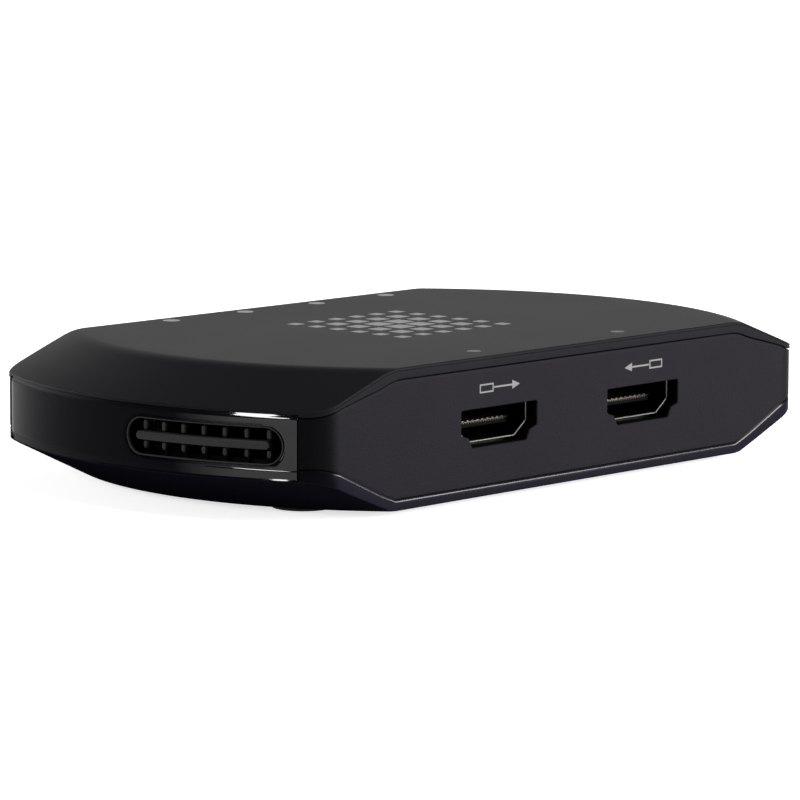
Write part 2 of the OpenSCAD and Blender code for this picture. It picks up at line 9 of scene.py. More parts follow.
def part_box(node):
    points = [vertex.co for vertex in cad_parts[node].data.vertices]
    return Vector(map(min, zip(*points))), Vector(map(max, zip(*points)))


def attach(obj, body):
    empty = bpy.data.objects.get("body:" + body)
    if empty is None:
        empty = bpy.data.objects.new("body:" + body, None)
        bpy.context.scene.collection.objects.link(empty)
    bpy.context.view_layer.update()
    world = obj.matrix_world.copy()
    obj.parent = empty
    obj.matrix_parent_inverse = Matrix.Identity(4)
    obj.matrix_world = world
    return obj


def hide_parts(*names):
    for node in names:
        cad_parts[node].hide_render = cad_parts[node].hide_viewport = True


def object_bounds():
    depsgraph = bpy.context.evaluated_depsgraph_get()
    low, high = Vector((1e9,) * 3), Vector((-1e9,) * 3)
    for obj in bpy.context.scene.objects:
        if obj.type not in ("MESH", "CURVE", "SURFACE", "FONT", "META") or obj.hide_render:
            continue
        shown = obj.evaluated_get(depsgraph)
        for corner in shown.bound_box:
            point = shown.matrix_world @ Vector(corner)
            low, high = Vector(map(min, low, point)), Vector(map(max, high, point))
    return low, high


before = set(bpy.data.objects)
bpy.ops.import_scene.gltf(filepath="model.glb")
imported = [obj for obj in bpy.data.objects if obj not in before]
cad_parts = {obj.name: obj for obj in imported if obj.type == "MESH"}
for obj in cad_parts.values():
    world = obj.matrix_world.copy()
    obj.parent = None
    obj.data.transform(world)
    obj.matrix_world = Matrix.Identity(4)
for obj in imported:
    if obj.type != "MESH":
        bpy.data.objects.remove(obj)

CAD_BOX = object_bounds()

# Bottom cover: the lower half of the case, moulded in satin black plastic. Its sloping rim runs down to the
# flat underside, and its straight front and rear lips frame the end panels from below.
MM = 0.001
FIT_GAP = 0.05 * MM
WALL = 1.5 * MM
FACE_RADIUS = 48 * MM
PANEL_WRAP = 6 * MM
CORNER_RADIUS = 5.2 * MM
FULL_LIP_X = 39 * MM
# Past the upright corners the end panels and the lower lip are painted darker, as shade, over this fade.
CORNER_FADE = 1.4 * MM
PAINTED_CORNER_SHADE = 0.3
OVERHANG = 0.04 * MM
EDGE_ROUND = 0.25 * MM
SIDE_LIP = 0.12 * MM
SUPPORT = 0.35 * MM
LEDGE = 2.2 * MM
HALF_WIDTH, HALF_DEPTH, CASE_TOP = CAD_BOX[1]
CASE_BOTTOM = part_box("bottom_cover")[0].z
BAND_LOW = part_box("left_band")[0].z - FIT_GAP
BAND_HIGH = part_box("left_band")[1].z + FIT_GAP
SIDE_STEPS = 48
CORNER_STEPS = 18
WRAP_STEPS = 6
END_STEPS = 40
SOFT_STEPS = 8
SLOPE_STEPS = 4
ROUND_STEPS = 4
SEAM_STEP = 1e-4
QUARTER_TURN = [math.pi / 2 * k / ROUND_STEPS for k in range(ROUND_STEPS + 1)]
LINE_SECTION = ((0.0, 0.2), (0.9, 0.5), (0.9, 1.1), (0.0, 1.5))
SHARP_ANGLE = math.radians(28)
WELD = 0.001 * MM


class Plan:
    """Outline of the case from above: two round sides, two straight ends and four rounded corners."""

    def __init__(self, side_radius):
        self.side_radius = side_radius
        self.corner = self.arc_middle(CORNER_RADIUS)
        self.corner_turn = math.atan2(self.corner.y, self.corner.x)
        self.end_turn = math.atan2(HALF_DEPTH, self.corner.x)
        self.full_turn = math.atan2(HALF_DEPTH, FULL_LIP_X)
        wrap = self.arc_middle(PANEL_WRAP)
        self.band_turn = math.atan2(wrap.y, wrap.x)

    def arc_middle(self, radius):
        """Middle of an arc that joins a round side to a straight end."""
        middle_y = HALF_DEPTH - radius
        return Vector((math.sqrt((self.side_radius - radius) ** 2 - middle_y ** 2), middle_y))

    def fold(self, turn):
        return math.atan2(abs(math.sin(turn)), abs(math.cos(turn)))

    def radius(self, turn):
        fold = self.fold(turn)
        if fold <= self.corner_turn:
            return self.side_radius
        if fold >= self.end_turn:
            return HALF_DEPTH / math.sin(fold)
        reach = self.corner.dot(Vector((math.cos(fold), math.sin(fold))))
        return reach + math.sqrt(reach ** 2 - self.corner.length_squared + CORNER_RADIUS ** 2)

    def point(self, turn, inset=0.0):
        """A point of the outline in a direction from the middle, moved in square to the outline."""
        fold = self.fold(turn)
        spot = Vector((math.cos(fold), math.sin(fold))) * self.radius(turn)
        if fold <= self.corner_turn:
            normal = spot.normalized()
        elif fold >= self.end_turn:
            normal = Vector((0, 1))
        else:
            normal = (spot - self.corner) / CORNER_RADIUS
        spot -= normal * inset
        return Vector((math.copysign(spot.x, math.cos(turn)), math.copysign(spot.y, math.sin(turn))))

    def turns(self):
        """Directions round the whole outline, closer together round the corners."""
        quarter = [self.band_turn * k / SIDE_STEPS for k in range(SIDE_STEPS)]
        quarter += [self.band_turn - SEAM_STEP, self.band_turn + SEAM_STEP]
        wrap = self.corner_turn - self.band_turn
        quarter += [self.band_turn + wrap * k / WRAP_STEPS for k in range(1, WRAP_STEPS + 1)]
        for k in range(1, CORNER_STEPS + 1):
            lean = self.corner_turn + (math.pi / 2 - self.corner_turn) * k / CORNER_STEPS
            spot = self.corner + CORNER_RADIUS * Vector((math.cos(lean), math.sin(lean)))
            quarter.append(math.atan2(spot.y, spot.x))
        for k in range(1, END_STEPS + 1):
            quarter.append(math.atan2(HALF_DEPTH, self.corner.x * (1 - k / END_STEPS)))
        turns = quarter + [math.pi - t for t in reversed(quarter[:-1])]
        return turns + [math.pi + t for t in turns[1:-1]]


class Cover:
    """Half of the case in section: a flat face, a sloping rim and a lip that frames the end panels."""

    def __init__(self, plan, face_z, edge_z, soft, lip, seam_rim, corner_rim, edge_line=0.0):
        self.plan = plan
        self.edge_line = edge_line
        self.face_z = face_z
        self.up = math.copysign(1, face_z - edge_z)
        self.bevel = abs(face_z - edge_z)
        self.slope = math.atan2(self.bevel, HALF_WIDTH - FACE_RADIUS)
        self.soft = soft
        self.lip = lip
        self.seam_rim = seam_rim
        self.corner_rim = corner_rim
        self.flat_radius = FACE_RADIUS - soft * math.tan(self.slope / 2)
        self.slope_radius = self.flat_radius + soft * math.sin(self.slope)
        steps = [self.slope * k / SOFT_STEPS for k in range(SOFT_STEPS + 1)]
        self.radii = [self.flat_radius + soft * math.sin(a) for a in steps]
        rest = HALF_WIDTH - self.slope_radius
        self.radii += [self.slope_radius + rest * (k + 1) / SLOPE_STEPS for k in range(SLOPE_STEPS)]

    def drop(self, radius):
        """Depth of the outer surface below the flat face."""
        if radius <= self.flat_radius:
            return 0.0
        if radius <= self.slope_radius:
            return self.soft - math.sqrt(self.soft ** 2 - (radius - self.flat_radius) ** 2)
        return self.bevel - (HALF_WIDTH - radius) * math.tan(self.slope)

    def tilt(self, radius):
        reach = max(0.0, min(radius, self.slope_radius) - self.flat_radius)
        return math.asin(reach / self.soft)

    def rim(self, turn):
        """Depth of the rim's free edge below the flat face."""
        fold = self.plan.fold(turn)
        limit = self.plan.radius(turn)
        if fold <= self.plan.band_turn:
            return self.bevel
        if fold < self.plan.end_turn:
            rim = self.seam_rim + (self.corner_rim - self.seam_rim) * self.end_share(turn)
        else:
            share = min(1.0, (fold - self.plan.end_turn) / (self.plan.full_turn - self.plan.end_turn))
            rim = self.corner_rim + (WALL / math.cos(self.tilt(limit)) - self.corner_rim) * share
        return self.drop(limit) + rim

    def end_share(self, turn):
        """None on the round sides, rising round a corner to all on the straight ends."""
        share = (self.plan.fold(turn) - self.plan.band_turn) / (self.plan.end_turn - self.plan.band_turn)
        return max(0.0, min(1.0, share))

    def rim_z(self, turn):
        return self.face_z - self.up * self.rim(turn)

    def ring(self, turn):
        """Points of the closed section in one direction, from the flat face round the rim to the inside."""
        limit = self.plan.radius(turn)
        inner = limit - EDGE_ROUND
        section = [(min(self.flat_radius, inner) - SUPPORT, 0.0)]
        section += [(min(r, inner), self.drop(min(r, inner))) for r in self.radii]
        start = self.tilt(inner)
        centre = self.drop(inner) + EDGE_ROUND / math.cos(start)
        for k in range(ROUND_STEPS + 1):
            lean = start + (math.pi / 2 - start) * k / ROUND_STEPS
            out = inner + EDGE_ROUND * math.sin(lean)
            section.append((out, centre - EDGE_ROUND * math.cos(lean)))
        rim = self.rim(turn)
        lip = self.lip
        if self.plan.fold(turn) <= self.plan.band_turn:
            lip = SIDE_LIP
            if self.up > 0:
                rim = centre + SIDE_LIP
        rim = max(rim, centre)
        lip = min(lip, rim - centre)
        line = self.edge_line * self.end_share(turn)
        for sunk, below in LINE_SECTION:
            section.append((limit - line * sunk, min(centre + self.edge_line * below, rim - lip)))
        for lean in QUARTER_TURN:
            section.append((limit - lip * (1 - math.cos(lean)), rim - lip * (1 - math.sin(lean))))
        for r in reversed(self.radii):
            inside = min(r, limit - LEDGE)
            depth = self.drop(inside) + WALL / math.cos(self.tilt(inside))
            section.append((inside, min(depth, rim)))
        across = (math.cos(turn), math.sin(turn))
        return [(r * across[0], r * across[1], self.face_z - self.up * d) for r, d in section]

    def loops(self):
        """Closed loops of points round the whole cover, one for each point of the section."""
        return [list(loop) for loop in zip(*[self.ring(t) for t in self.plan.turns()])]


def bridge(bm, row, other):
    """Smooth quads between two closed rows of vertices."""
    for k in range(len(row)):
        after = (k + 1) % len(row)
        bm.faces.new((row[k], row[after], other[after], other[k])).smooth = True


def loft(bm, loops, wrap=False):
    """Quads between loops of points, one after another; wrap joins the last loop to the first."""
    rows = [[bm.verts.new(p) for p in loop] for loop in loops]
    for row, other in zip(rows, rows[1:]):
        bridge(bm, row, other)
    if wrap:
        bridge(bm, rows[-1], rows[0])
    return rows


def capped_loft(bm, loops):
    """A loft with a flat face over its first and its last loop."""
    rows = loft(bm, loops)
    bm.faces.new(rows[0])
    bm.faces.new(rows[-1])


class Wire:
    """A socket in a node tree: arithmetic adds Math nodes, and add() adds a node of any other type."""

    def __init__(self, tree, socket=None):
        self.tree = tree
        self.socket = socket

    def add(self, kind, settings=None, inputs=None, output=0):
        node = self.tree.nodes.new(kind)
        for name, value in (settings or {}).items():
            setattr(node, name, value)
        for name, value in (inputs or {}).items():
            if isinstance(value, Wire):
                self.tree.links.new(value.socket, node.inputs[name])
            else:
                node.inputs[name].default_value = value
        return Wire(self.tree, node.outputs[output])

    def math(self, operation, *values):
        return self.add("ShaderNodeMath", {"operation": operation}, dict(enumerate(values)))

    def __add__(self, other):
        return self.math("ADD", self, other)

    def __radd__(self, other):
        return self.math("ADD", other, self)

    def __sub__(self, other):
        return self.math("SUBTRACT", self, other)

    def __rsub__(self, other):
        return self.math("SUBTRACT", other, self)

    def __mul__(self, other):
        return self.math("MULTIPLY", self, other)

    def __rmul__(self, other):
        return self.math("MULTIPLY", other, self)

    def __truediv__(self, other):
        return self.math("DIVIDE", self, other)

    def __gt__(self, other):
        return self.math("GREATER_THAN", self, other)

    def __lt__(self, other):
        return self.math("LESS_THAN", self, other)

    def mix(self, low, high):
        """Colour between two colours, with this value as the share of the second."""
        return self.add("ShaderNodeMix", {"data_type": "RGBA"}, {0: self, 6: low, 7: high}, 2)

    def noise(self, size, detail=2.0):
        """Noise on this vector with features of a real size."""
        return self.add("ShaderNodeTexNoise", None, {"Vector": self, "Scale": 1 / size, "Detail": detail})

    def axis(self, name):
        """One coordinate of this vector."""
        return self.add("ShaderNodeSeparateXYZ", None, {"Vector": self}, name)

    def absolute(self):
        return self.math("ABSOLUTE", self)

    def ramp(self, low, high, kind="LINEAR"):
        """Share that rises from none at a low value to all at a high one."""
        inputs = {"Value": self, "From Min": low, "From Max": high}
        return self.add("ShaderNodeMapRange", {"interpolation_type": kind}, inputs)

    def relief(self, shader, distance):
        """Gives a shader's surface this relief, as high as a distance."""
        bump = self.add("ShaderNodeBump", None, {"Distance": distance, "Height": self})
        bump.into(shader, "Normal")

    def into(self, shader, name):
        self.tree.links.new(self.socket, shader.inputs[name])


def new_material(name, constants):
    """A Principled material with its constant sockets set; returns it, its shader and Object coordinates."""
    material = bpy.data.materials.new(name)
    material.use_nodes = True
    tree = material.node_tree
    shader = tree.nodes["Principled BSDF"]
    for socket, value in constants.items():
        shader.inputs[socket].default_value = value
    return material, shader, Wire(tree).add("ShaderNodeTexCoord", output="Object")


PLAIN = (1.0, 1.0, 1.0)


def grey(level, tint=PLAIN):
    """A grey of a linear level, with a tint over its three channels."""
    return (level * tint[0], level * tint[1], level * tint[2], 1.0)


def facing_up(place, low, high):
    """Share of a surface that faces upwards, from none at a low lean to all at a high one."""
    return place.add("ShaderNodeTexCoord", output="Normal").axis("Z").ramp(low, high)


# Mask of the painted corner shade on the panels and the lower lip, and of their coat.
def on_end(place):
    """Share of a surface that belongs to a straight end: all on the flat, none past the corner."""
    corner = side_plan.corner.x
    return 1 - place.axis("X").absolute().ramp(corner, corner + CORNER_FADE)


PATCH_SIZE = 18 * MM
PATCH_SHARE = 0.6
SHADE_SPREAD = 0.2
FINE_SHEEN = 0.16
PATCH_SHEEN = 0.06
GRAIN_DETAIL = 3.0


def moulded_plastic(name, level, rough, gloss, grain, relief, tint=PLAIN, coat=None, corner=1.0):
    """Moulded plastic: a fine grain of a real size and relief, with a faint unevenness in shade and sheen.

    coat gives a lean where it starts, one where it is full, its weight and its roughness; corner is the share
    of the colour that is left past the upright corners, a painted shade there, where the coat also fades.
    """
    material, shader, place = new_material(name, {"Specular IOR Level": gloss})
    if coat:
        low, high, weight, shader.inputs["Coat Roughness"].default_value = coat
        cover = facing_up(place, low, high) * weight
        if corner < 1:
            cover = cover * on_end(place)
        cover.into(shader, "Coat Weight")
    fine = place.noise(grain, GRAIN_DETAIL)
    broad = place.noise(PATCH_SIZE)
    shade = broad * PATCH_SHARE + fine * (1 - PATCH_SHARE)
    body = shade.mix(grey(level * (1 - SHADE_SPREAD), tint), grey(level * (1 + SHADE_SPREAD), tint))
    # Painted shade: past the upright corners the colour falls to a share of its level.
    if corner < 1:
        body = on_end(place).mix(grey(level * corner, tint), body)
    body.into(shader, "Base Color")
    (rough + (fine - 0.5) * FINE_SHEEN + (broad - 0.5) * PATCH_SHEEN).into(shader, "Roughness")
    fine.relief(shader, relief)
    return material


UNDERSIDE_GRAIN = 0.5 * MM
UNDERSIDE_SPREAD = 1.3
UNDERSIDE_LEAN = (-0.4, -0.15)


def matt_below(material, colour):
    """Lets a plastic turn dull and darker where its surface faces downwards."""
    tree = material.node_tree
    wire = Wire(tree)
    place = wire.add("ShaderNodeTexCoord", output="Object")
    lighter = tuple(c * UNDERSIDE_SPREAD for c in colour[:3]) + (1.0,)
    shade = place.noise(UNDERSIDE_GRAIN).mix(colour, lighter)
    dull = wire.add("ShaderNodeBsdfPrincipled", None,
                    {"Base Color": shade, "Roughness": 1.0, "Specular IOR Level": 0.0})
    bright = Wire(tree, tree.nodes["Principled BSDF"].outputs[0])
    mixed = wire.add("ShaderNodeMixShader", None, {0: facing_up(place, *UNDERSIDE_LEAN), 1: dull, 2: bright})
    mixed.into(tree.nodes["Material Output"], "Surface")


def piece(name, bm, material, slot, *nodes):
    """Turns a bmesh into a finished piece of the case that stands for the given nodes."""
    bmesh.ops.remove_doubles(bm, verts=bm.verts, dist=WELD)
    bmesh.ops.dissolve_degenerate(bm, edges=bm.edges, dist=WELD)
    bmesh.ops.delete(bm, geom=[v for v in bm.verts if not v.link_faces], context="VERTS")
    bmesh.ops.recalc_face_normals(bm, faces=bm.faces)
    mesh = bpy.data.meshes.new(name)
    bm.to_mesh(mesh)
    bm.free()
    mesh.materials.append(material)
    mesh.set_sharp_from_angle(angle=SHARP_ANGLE)
    obj = bpy.data.objects.new(name, mesh)
    bpy.context.scene.collection.objects.link(obj)
    if nodes:
        dress(obj, slot, *nodes)
    return obj


def dress(obj, slot, *nodes):
    """Fixes a piece to the case in place of its nodes."""
    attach(obj, "root")
    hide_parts(*nodes)


COOL = (1.0, 0.88, 1.5)
LIP_COAT = (0.05, 0.12, 0.4, 0.22)
UNDERSIDE_LEVEL = 0.009
BOTTOM_LIP = 0.32 * MM
BOTTOM_SOFT = 2 * MM
BOTTOM_IN = 0.14 * MM
BOTTOM_SEAM_RIM = 1.68 * MM
BOTTOM_CORNER_RIM = 2.1 * MM
side_plan = Plan(HALF_WIDTH - OVERHANG)
bottom_plan = Plan(HALF_WIDTH - BOTTOM_IN)
bottom = Cover(bottom_plan, CASE_BOTTOM, BAND_LOW, soft=BOTTOM_SOFT, lip=BOTTOM_LIP,
               seam_rim=BOTTOM_SEAM_RIM, corner_rim=BOTTOM_CORNER_RIM)
# The lower lip is painted darker past the upright corners, as shade.
satin_black = moulded_plastic("satin_black_moulding", level=0.008, rough=0.44, gloss=0.016, grain=0.3 * MM,
                              relief=0.004 * MM, tint=COOL, coat=LIP_COAT, corner=PAINTED_CORNER_SHADE)
matt_below(satin_black, grey(UNDERSIDE_LEVEL, COOL))
bm = bmesh.new()
capped_loft(bm, bottom.loops())
piece("bottom_cover_shell", bm, satin_black, "bottom_plastic", "bottom_cover")

# Rubber feet: four round pads glued over the screw heads in the underside. They are soft matt rubber with a
# rounded rim and a shallow dish in the middle.
FOOT_DIAMETER = 9 * MM
FOOT_ROUND = 0.35 * MM
FOOT_DISH = 0.15 * MM
TURNED_STEPS = 48


def circle(steps):
    """Equal turns round a full circle."""
    return [2 * math.pi * k / steps for k in range(steps)]


def turned(bm, profile, axis_point):
    """A closed turned shape from (radius, height) pairs; axis_point gives the point at a radius and turn."""
    ends = (profile[0], profile[-1])
    rows = loft(bm, [[axis_point(r, t, h) for t in circle(TURNED_STEPS)] for r, h in profile if r > 0])
    for (radius, height), row in zip(ends, (rows[0], rows[-1])):
        if radius == 0:
            tip = bm.verts.new(axis_point(0, 0, height))
            for k in range(TURNED_STEPS):
                bm.faces.new((row[k], row[(k + 1) % TURNED_STEPS], tip)).smooth = True


def repeat_tree(name, inputs):
    """A node tree with the given inputs besides its geometry and material; returns it and their wires."""
    tree = bpy.data.node_groups.new(name, "GeometryNodeTree")
    tree.is_modifier = True
    for label, kind in {"Geometry": "Geometry", **inputs, "Material": "Material"}.items():
        tree.interface.new_socket(label, in_out="INPUT", socket_type="NodeSocket" + kind)
    tree.interface.new_socket("Geometry", in_out="OUTPUT", socket_type="NodeSocketGeometry")
    return tree, {s.name: Wire(tree, s) for s in tree.nodes.new("NodeGroupInput").outputs}


def copies_on(points, given, placing):
    """Ends a repeating tree: copies of its geometry on points, in its material."""
    inputs = {"Points": points, "Instance": given["Geometry"], **placing}
    copies = points.add("GeometryNodeInstanceOnPoints", None, inputs)
    copies = points.add("GeometryNodeRealizeInstances", None, {"Geometry": copies})
    copies = points.add("GeometryNodeSetMaterial", None, {"Geometry": copies, "Material": given["Material"]})
    copies.into(points.tree.nodes.new("NodeGroupOutput"), "Geometry")


def field_tree():
    """Node tree that repeats its own geometry in rows, optionally smaller from the middle outwards."""
    tree, given = repeat_tree("repeat_in_rows", {
        "Count X": "Int", "Count Y": "Int", "Step X": "Vector", "Step Y": "Vector", "First": "Vector",
        "Middle": "Vector", "Pitch": "Float", "Shrink": "Float"})
    wire = Wire(tree)
    row = wire.add("GeometryNodeMeshLine", {"mode": "OFFSET"},
                   {"Count": given["Count X"], "Start Location": given["First"], "Offset": given["Step X"]})
    column = wire.add("GeometryNodeMeshLine", {"mode": "OFFSET"},
                      {"Count": given["Count Y"], "Offset": given["Step Y"]})
    field = wire.add("GeometryNodeInstanceOnPoints", None, {"Points": row, "Instance": column})
    field = wire.add("GeometryNodeRealizeInstances", None, {"Geometry": field})
    place = wire.add("GeometryNodeInputPosition")
    away = wire.add("ShaderNodeVectorMath", {"operation": "SUBTRACT"}, {0: place, 1: given["Middle"]})
    away = wire.add("ShaderNodeVectorMath", {"operation": "ABSOLUTE"}, {0: away})
    ring = wire.math("MAXIMUM", away.axis("X"), away.axis("Y")) / given["Pitch"] - 0.5
    size = 1 - ring * given["Shrink"]
    scale = wire.add("ShaderNodeCombineXYZ", None, {"X": size, "Y": size, "Z": 1.0})
    copies_on(field, given, {"Scale": scale})
    return tree


def repeat(obj, tree, values):
    """Runs a repeating tree on a piece and keeps the result as its plain mesh."""
    modifier = obj.modifiers.new("repeat", "NODES")
    modifier.node_group = tree
    for item in tree.interface.items_tree:
        if item.in_out == "INPUT" and item.name in values:
            modifier[item.identifier] = values[item.name]
    bpy.context.view_layer.update()
    graph = bpy.context.evaluated_depsgraph_get()
    mesh = bpy.data.meshes.new_from_object(obj.evaluated_get(graph))
    obj.modifiers.remove(modifier)
    obj.data = mesh
    return obj


rows_tree = field_tree()


def in_rows(obj, count_x, count_y, step_x, step_y, first, shrink=0.0):
    """Repeats a piece in rows from a first place; shrink makes outer copies smaller by that share a ring."""
    middle = Vector(first) + (Vector(step_x) * (count_x - 1) + Vector(step_y) * (count_y - 1)) / 2
    values = {
        "Count X": count_x, "Count Y": count_y, "Step X": step_x, "Step Y": step_y, "First": first,
        "Middle": middle, "Pitch": max(Vector(step_x).length, MM), "Shrink": shrink,
        "Material": obj.data.materials[0],
    }
    return repeat(obj, rows_tree, values)


foot_low, foot_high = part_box("rubber_feet")
foot_rim = FOOT_DIAMETER / 2
foot_profile = [(0, FOOT_DISH), (foot_rim - 3 * FOOT_ROUND, FOOT_DISH), (foot_rim - 2 * FOOT_ROUND, 0)]
for lean in QUARTER_TURN:
    foot_profile.append((foot_rim - FOOT_ROUND * (1 - math.sin(lean)), FOOT_ROUND * (1 - math.cos(lean))))
foot_profile += [(foot_rim, foot_high.z), (0, foot_high.z)]
matt_rubber = moulded_plastic("matt_rubber", level=0.014, rough=0.8, gloss=0.3, grain=0.15 * MM,
                              relief=0.006 * MM)
bm = bmesh.new()
turned(bm, foot_profile, lambda r, t, h: (r * math.cos(t), r * math.sin(t), h))
feet = piece("rubber_foot_set", bm, matt_rubber, "foot_rubber")
foot_step_x = foot_high.x - foot_low.x - FOOT_DIAMETER
foot_step_y = foot_high.y - foot_low.y - FOOT_DIAMETER
foot_first = (-foot_step_x / 2, -foot_step_y / 2, foot_low.z)
in_rows(feet, 2, 2, (foot_step_x, 0, 0), (0, foot_step_y, 0), foot_first)
dress(feet, "foot_rubber", "rubber_feet")

# Main board and its parts: a green laminate with a solder mask, black chips, a finned heat sink on a soft
# pad, drawn metal cans and ferrite blocks, all inside the closed case and held by plated steel screws.
TRACE_PITCH = 1.3 * MM
TRACE_WIDTH = 0.32
TRACE_WANDER = 4.0
TRACE_WANDER_SIZE = 6 * MM
TRACE_RELIEF = 0.03 * MM
TRACE_GREEN = (0.0015, 0.0045, 0.0025, 1)
MASK_GREEN = (0.001, 0.0026, 0.0015, 1)
MASK_GLOSS = 0.1
MASK_ROUGH = 0.34
MASK_GRAIN = 0.4 * MM
MASK_SHEEN = 0.14


def solder_mask():
    """Green mask over a grid of copper traces."""
    material, shader, place = new_material("green_solder_mask", {"Specular IOR Level": MASK_GLOSS})
    across = place.axis("X") / TRACE_PITCH + place.noise(TRACE_WANDER_SIZE) * TRACE_WANDER
    trace = across.math("FRACT", across) < TRACE_WIDTH
    trace.mix(MASK_GREEN, TRACE_GREEN).into(shader, "Base Color")
    (MASK_ROUGH + place.noise(MASK_GRAIN) * MASK_SHEEN).into(shader, "Roughness")
    trace.relief(shader, TRACE_RELIEF)
    return material


DRAWN_STRETCH = (1.0, 0.12, 1.0)
DRAWN_DETAIL = 4.0
DRAWN_SHEEN = 0.2
DRAWN_RELIEF = 0.003 * MM
STAIN_SIZE = 3 * MM
STAIN_SHADE = 0.78


def plated_metal(name, colour, rough, grain):
    """Bright plated or drawn metal with fine marks along its length."""
    material, shader, place = new_material(name, {"Metallic": 1.0})
    stretched = place.add("ShaderNodeMapping", None, {"Vector": place, "Scale": DRAWN_STRETCH})
    drawn = stretched.noise(grain, DRAWN_DETAIL)
    dull = tuple(c * STAIN_SHADE for c in colour[:3]) + (1.0,)
    (drawn * 0.5 + place.noise(STAIN_SIZE) * 0.5).mix(dull, colour).into(shader, "Base Color")
    (rough + (drawn - 0.5) * DRAWN_SHEEN).into(shader, "Roughness")
    drawn.relief(shader, DRAWN_RELIEF)
    return material


nickel = plated_metal("nickel_plate", colour=(0.62, 0.6, 0.57, 1), rough=0.26, grain=0.12 * MM)
zinc_plate = plated_metal("zinc_plate", colour=(0.36, 0.36, 0.37, 1), rough=0.38, grain=0.15 * MM)
black_anodised = moulded_plastic("black_anodised", level=0.03, rough=0.42, gloss=0.6, grain=0.1 * MM,
                                 relief=0.003 * MM)
chip_epoxy = moulded_plastic("chip_epoxy", level=0.012, rough=0.6, gloss=0.4, grain=0.08 * MM,
                             relief=0.004 * MM)
pad_silicone = moulded_plastic("pad_silicone", level=0.25, rough=0.75, gloss=0.3, grain=0.3 * MM,
                               relief=0.01 * MM, tint=(0.85, 1.0, 1.2))
grey_ferrite = moulded_plastic("grey_ferrite", level=0.07, rough=0.7, gloss=0.3, grain=0.12 * MM,
                               relief=0.008 * MM)
lamp_body = moulded_plastic("lamp_body", level=0.7, rough=0.45, gloss=0.5, grain=0.4 * MM,
                            relief=0.002 * MM, tint=(1.0, 0.97, 0.88))
board_finishes = (
    (solder_mask(), ("main_board",)),
    (chip_epoxy, ("capture_chip", "memory_chips", "receiver_chip", "driver_chip", "audio_codec",
                  "flash_chip")),
    (pad_silicone, ("thermal_pad",)),
    (black_anodised, ("heat_sink",)),
    (nickel, ("crystal", "bulk_capacitors")),
    (grey_ferrite, ("power_inductors",)),
    (lamp_body, ("front_lamps", "rear_lamps")),
    (zinc_plate, ("board_screws", "case_screws")),
)


def finish_nodes(material, names):
    """Gives carried-over nodes their material."""
    for name in names:
        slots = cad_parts[name].data.materials
        slots.clear()
        slots.append(material)


for finish, names in board_finishes:
    finish_nodes(finish, names)

# Video ports: each is a folded, nickel-plated shell round a black moulded tongue, soldered to the front edge
# of the board. Fine contacts, painted dark as shade, lie along the tongue and turn down over its front edge.
SHELL_OUT = 0.35 * MM
SHELL_RISE = 0.12 * MM
MOUTH_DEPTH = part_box("data_shell")[1].y + SHELL_OUT
# Further into the port the sheet is painted near black: painted shade, with oxide.
SHADE_AND_OXIDE_DEPTH = 0.35 * MM
SHADE_AND_OXIDE_LEVEL = 0.012
SHEET_DULL = (0.1, 0.1, 0.095, 1)
SHEET_BRIGHT = (0.17, 0.165, 0.155, 1)
SHEET_STAIN = 0.6 * MM
SHEET_ROUGH = 0.3
SHEET_SHEEN = 0.15
PORT_WIDTH = 14 * MM
PORT_LOW_WIDTH = 9.4 * MM
PORT_HEIGHT = 4.55 * MM
PORT_SLANT = 1.8 * MM
PORT_CORNER = 0.45 * MM
SHEET = 0.22 * MM
TONGUE = Vector((10.8 * MM, 0, 0.85 * MM))
TONGUE_ROUND = 0.12 * MM
TONGUE_DROP = 0.28 * MM
BLOCK_LENGTH = 3 * MM
CONTACT_COUNT = 10
CONTACT_PITCH = 1 * MM
CONTACT_THICKNESS = 0.12 * MM
CONTACT = Vector((0.45 * MM, 0, CONTACT_THICKNESS))
CONTACT_EDGE = Vector((TONGUE.x, 0, 0.12 * MM))
CONTACT_TAB = Vector((0.2 * MM, 0, 0.34 * MM))
LOWER_SET_BACK = 0.9 * MM


def rounded(points, radius, steps=4):
    """A closed outline with each corner of its points rounded by an arc."""
    outline = []
    for k, corner in enumerate(points):
        here = Vector(corner)
        back = (Vector(points[k - 1]) - here).normalized()
        ahead = (Vector(points[(k + 1) % len(points)]) - here).normalized()
        half = back.angle(ahead) / 2
        middle = here + (back + ahead).normalized() * radius / math.sin(half)
        first = here + back * radius / math.tan(half) - middle
        last = here + ahead * radius / math.tan(half) - middle
        for step in range(steps + 1):
            arc = first.lerp(last, step / steps).normalized() * radius
            outline.append(middle + arc)
    return outline


def port_outline(grow):
    """Outline of a video port across its width and height, grown by a distance."""
    slant = math.atan2(PORT_SLANT, (PORT_WIDTH - PORT_LOW_WIDTH) / 2)
    wide = PORT_WIDTH / 2 + grow
    narrow = PORT_LOW_WIDTH / 2 + grow * math.tan(slant / 2)
    top = PORT_HEIGHT / 2 + grow
    knee = PORT_SLANT - PORT_HEIGHT / 2 - grow * math.tan((math.pi / 2 - slant) / 2)
    points = [(-wide, top), (wide, top), (wide, knee), (narrow, -top), (-narrow, -top), (-wide, knee)]
    return rounded(points, PORT_CORNER + grow)


def upright(outline, x, y, z):
    """Points of an outline drawn across the width and height, at a depth."""
    return [(x + p[0], y, z + p[1]) for p in outline]


def sheet_tube(bm, outline, x, z, front, back):
    """A folded sheet tube along the depth, with its mouth edge softened."""
    soft = SHEET / 4
    step = math.copysign(soft, back - front)
    loft(bm, [
        upright(outline(SHEET), x, back, z), upright(outline(SHEET), x, front + step, z),
        upright(outline(SHEET - soft), x, front, z), upright(outline(soft), x, front, z),
        upright(outline(0), x, front + step, z), upright(outline(0), x, back, z),
    ], wrap=True)


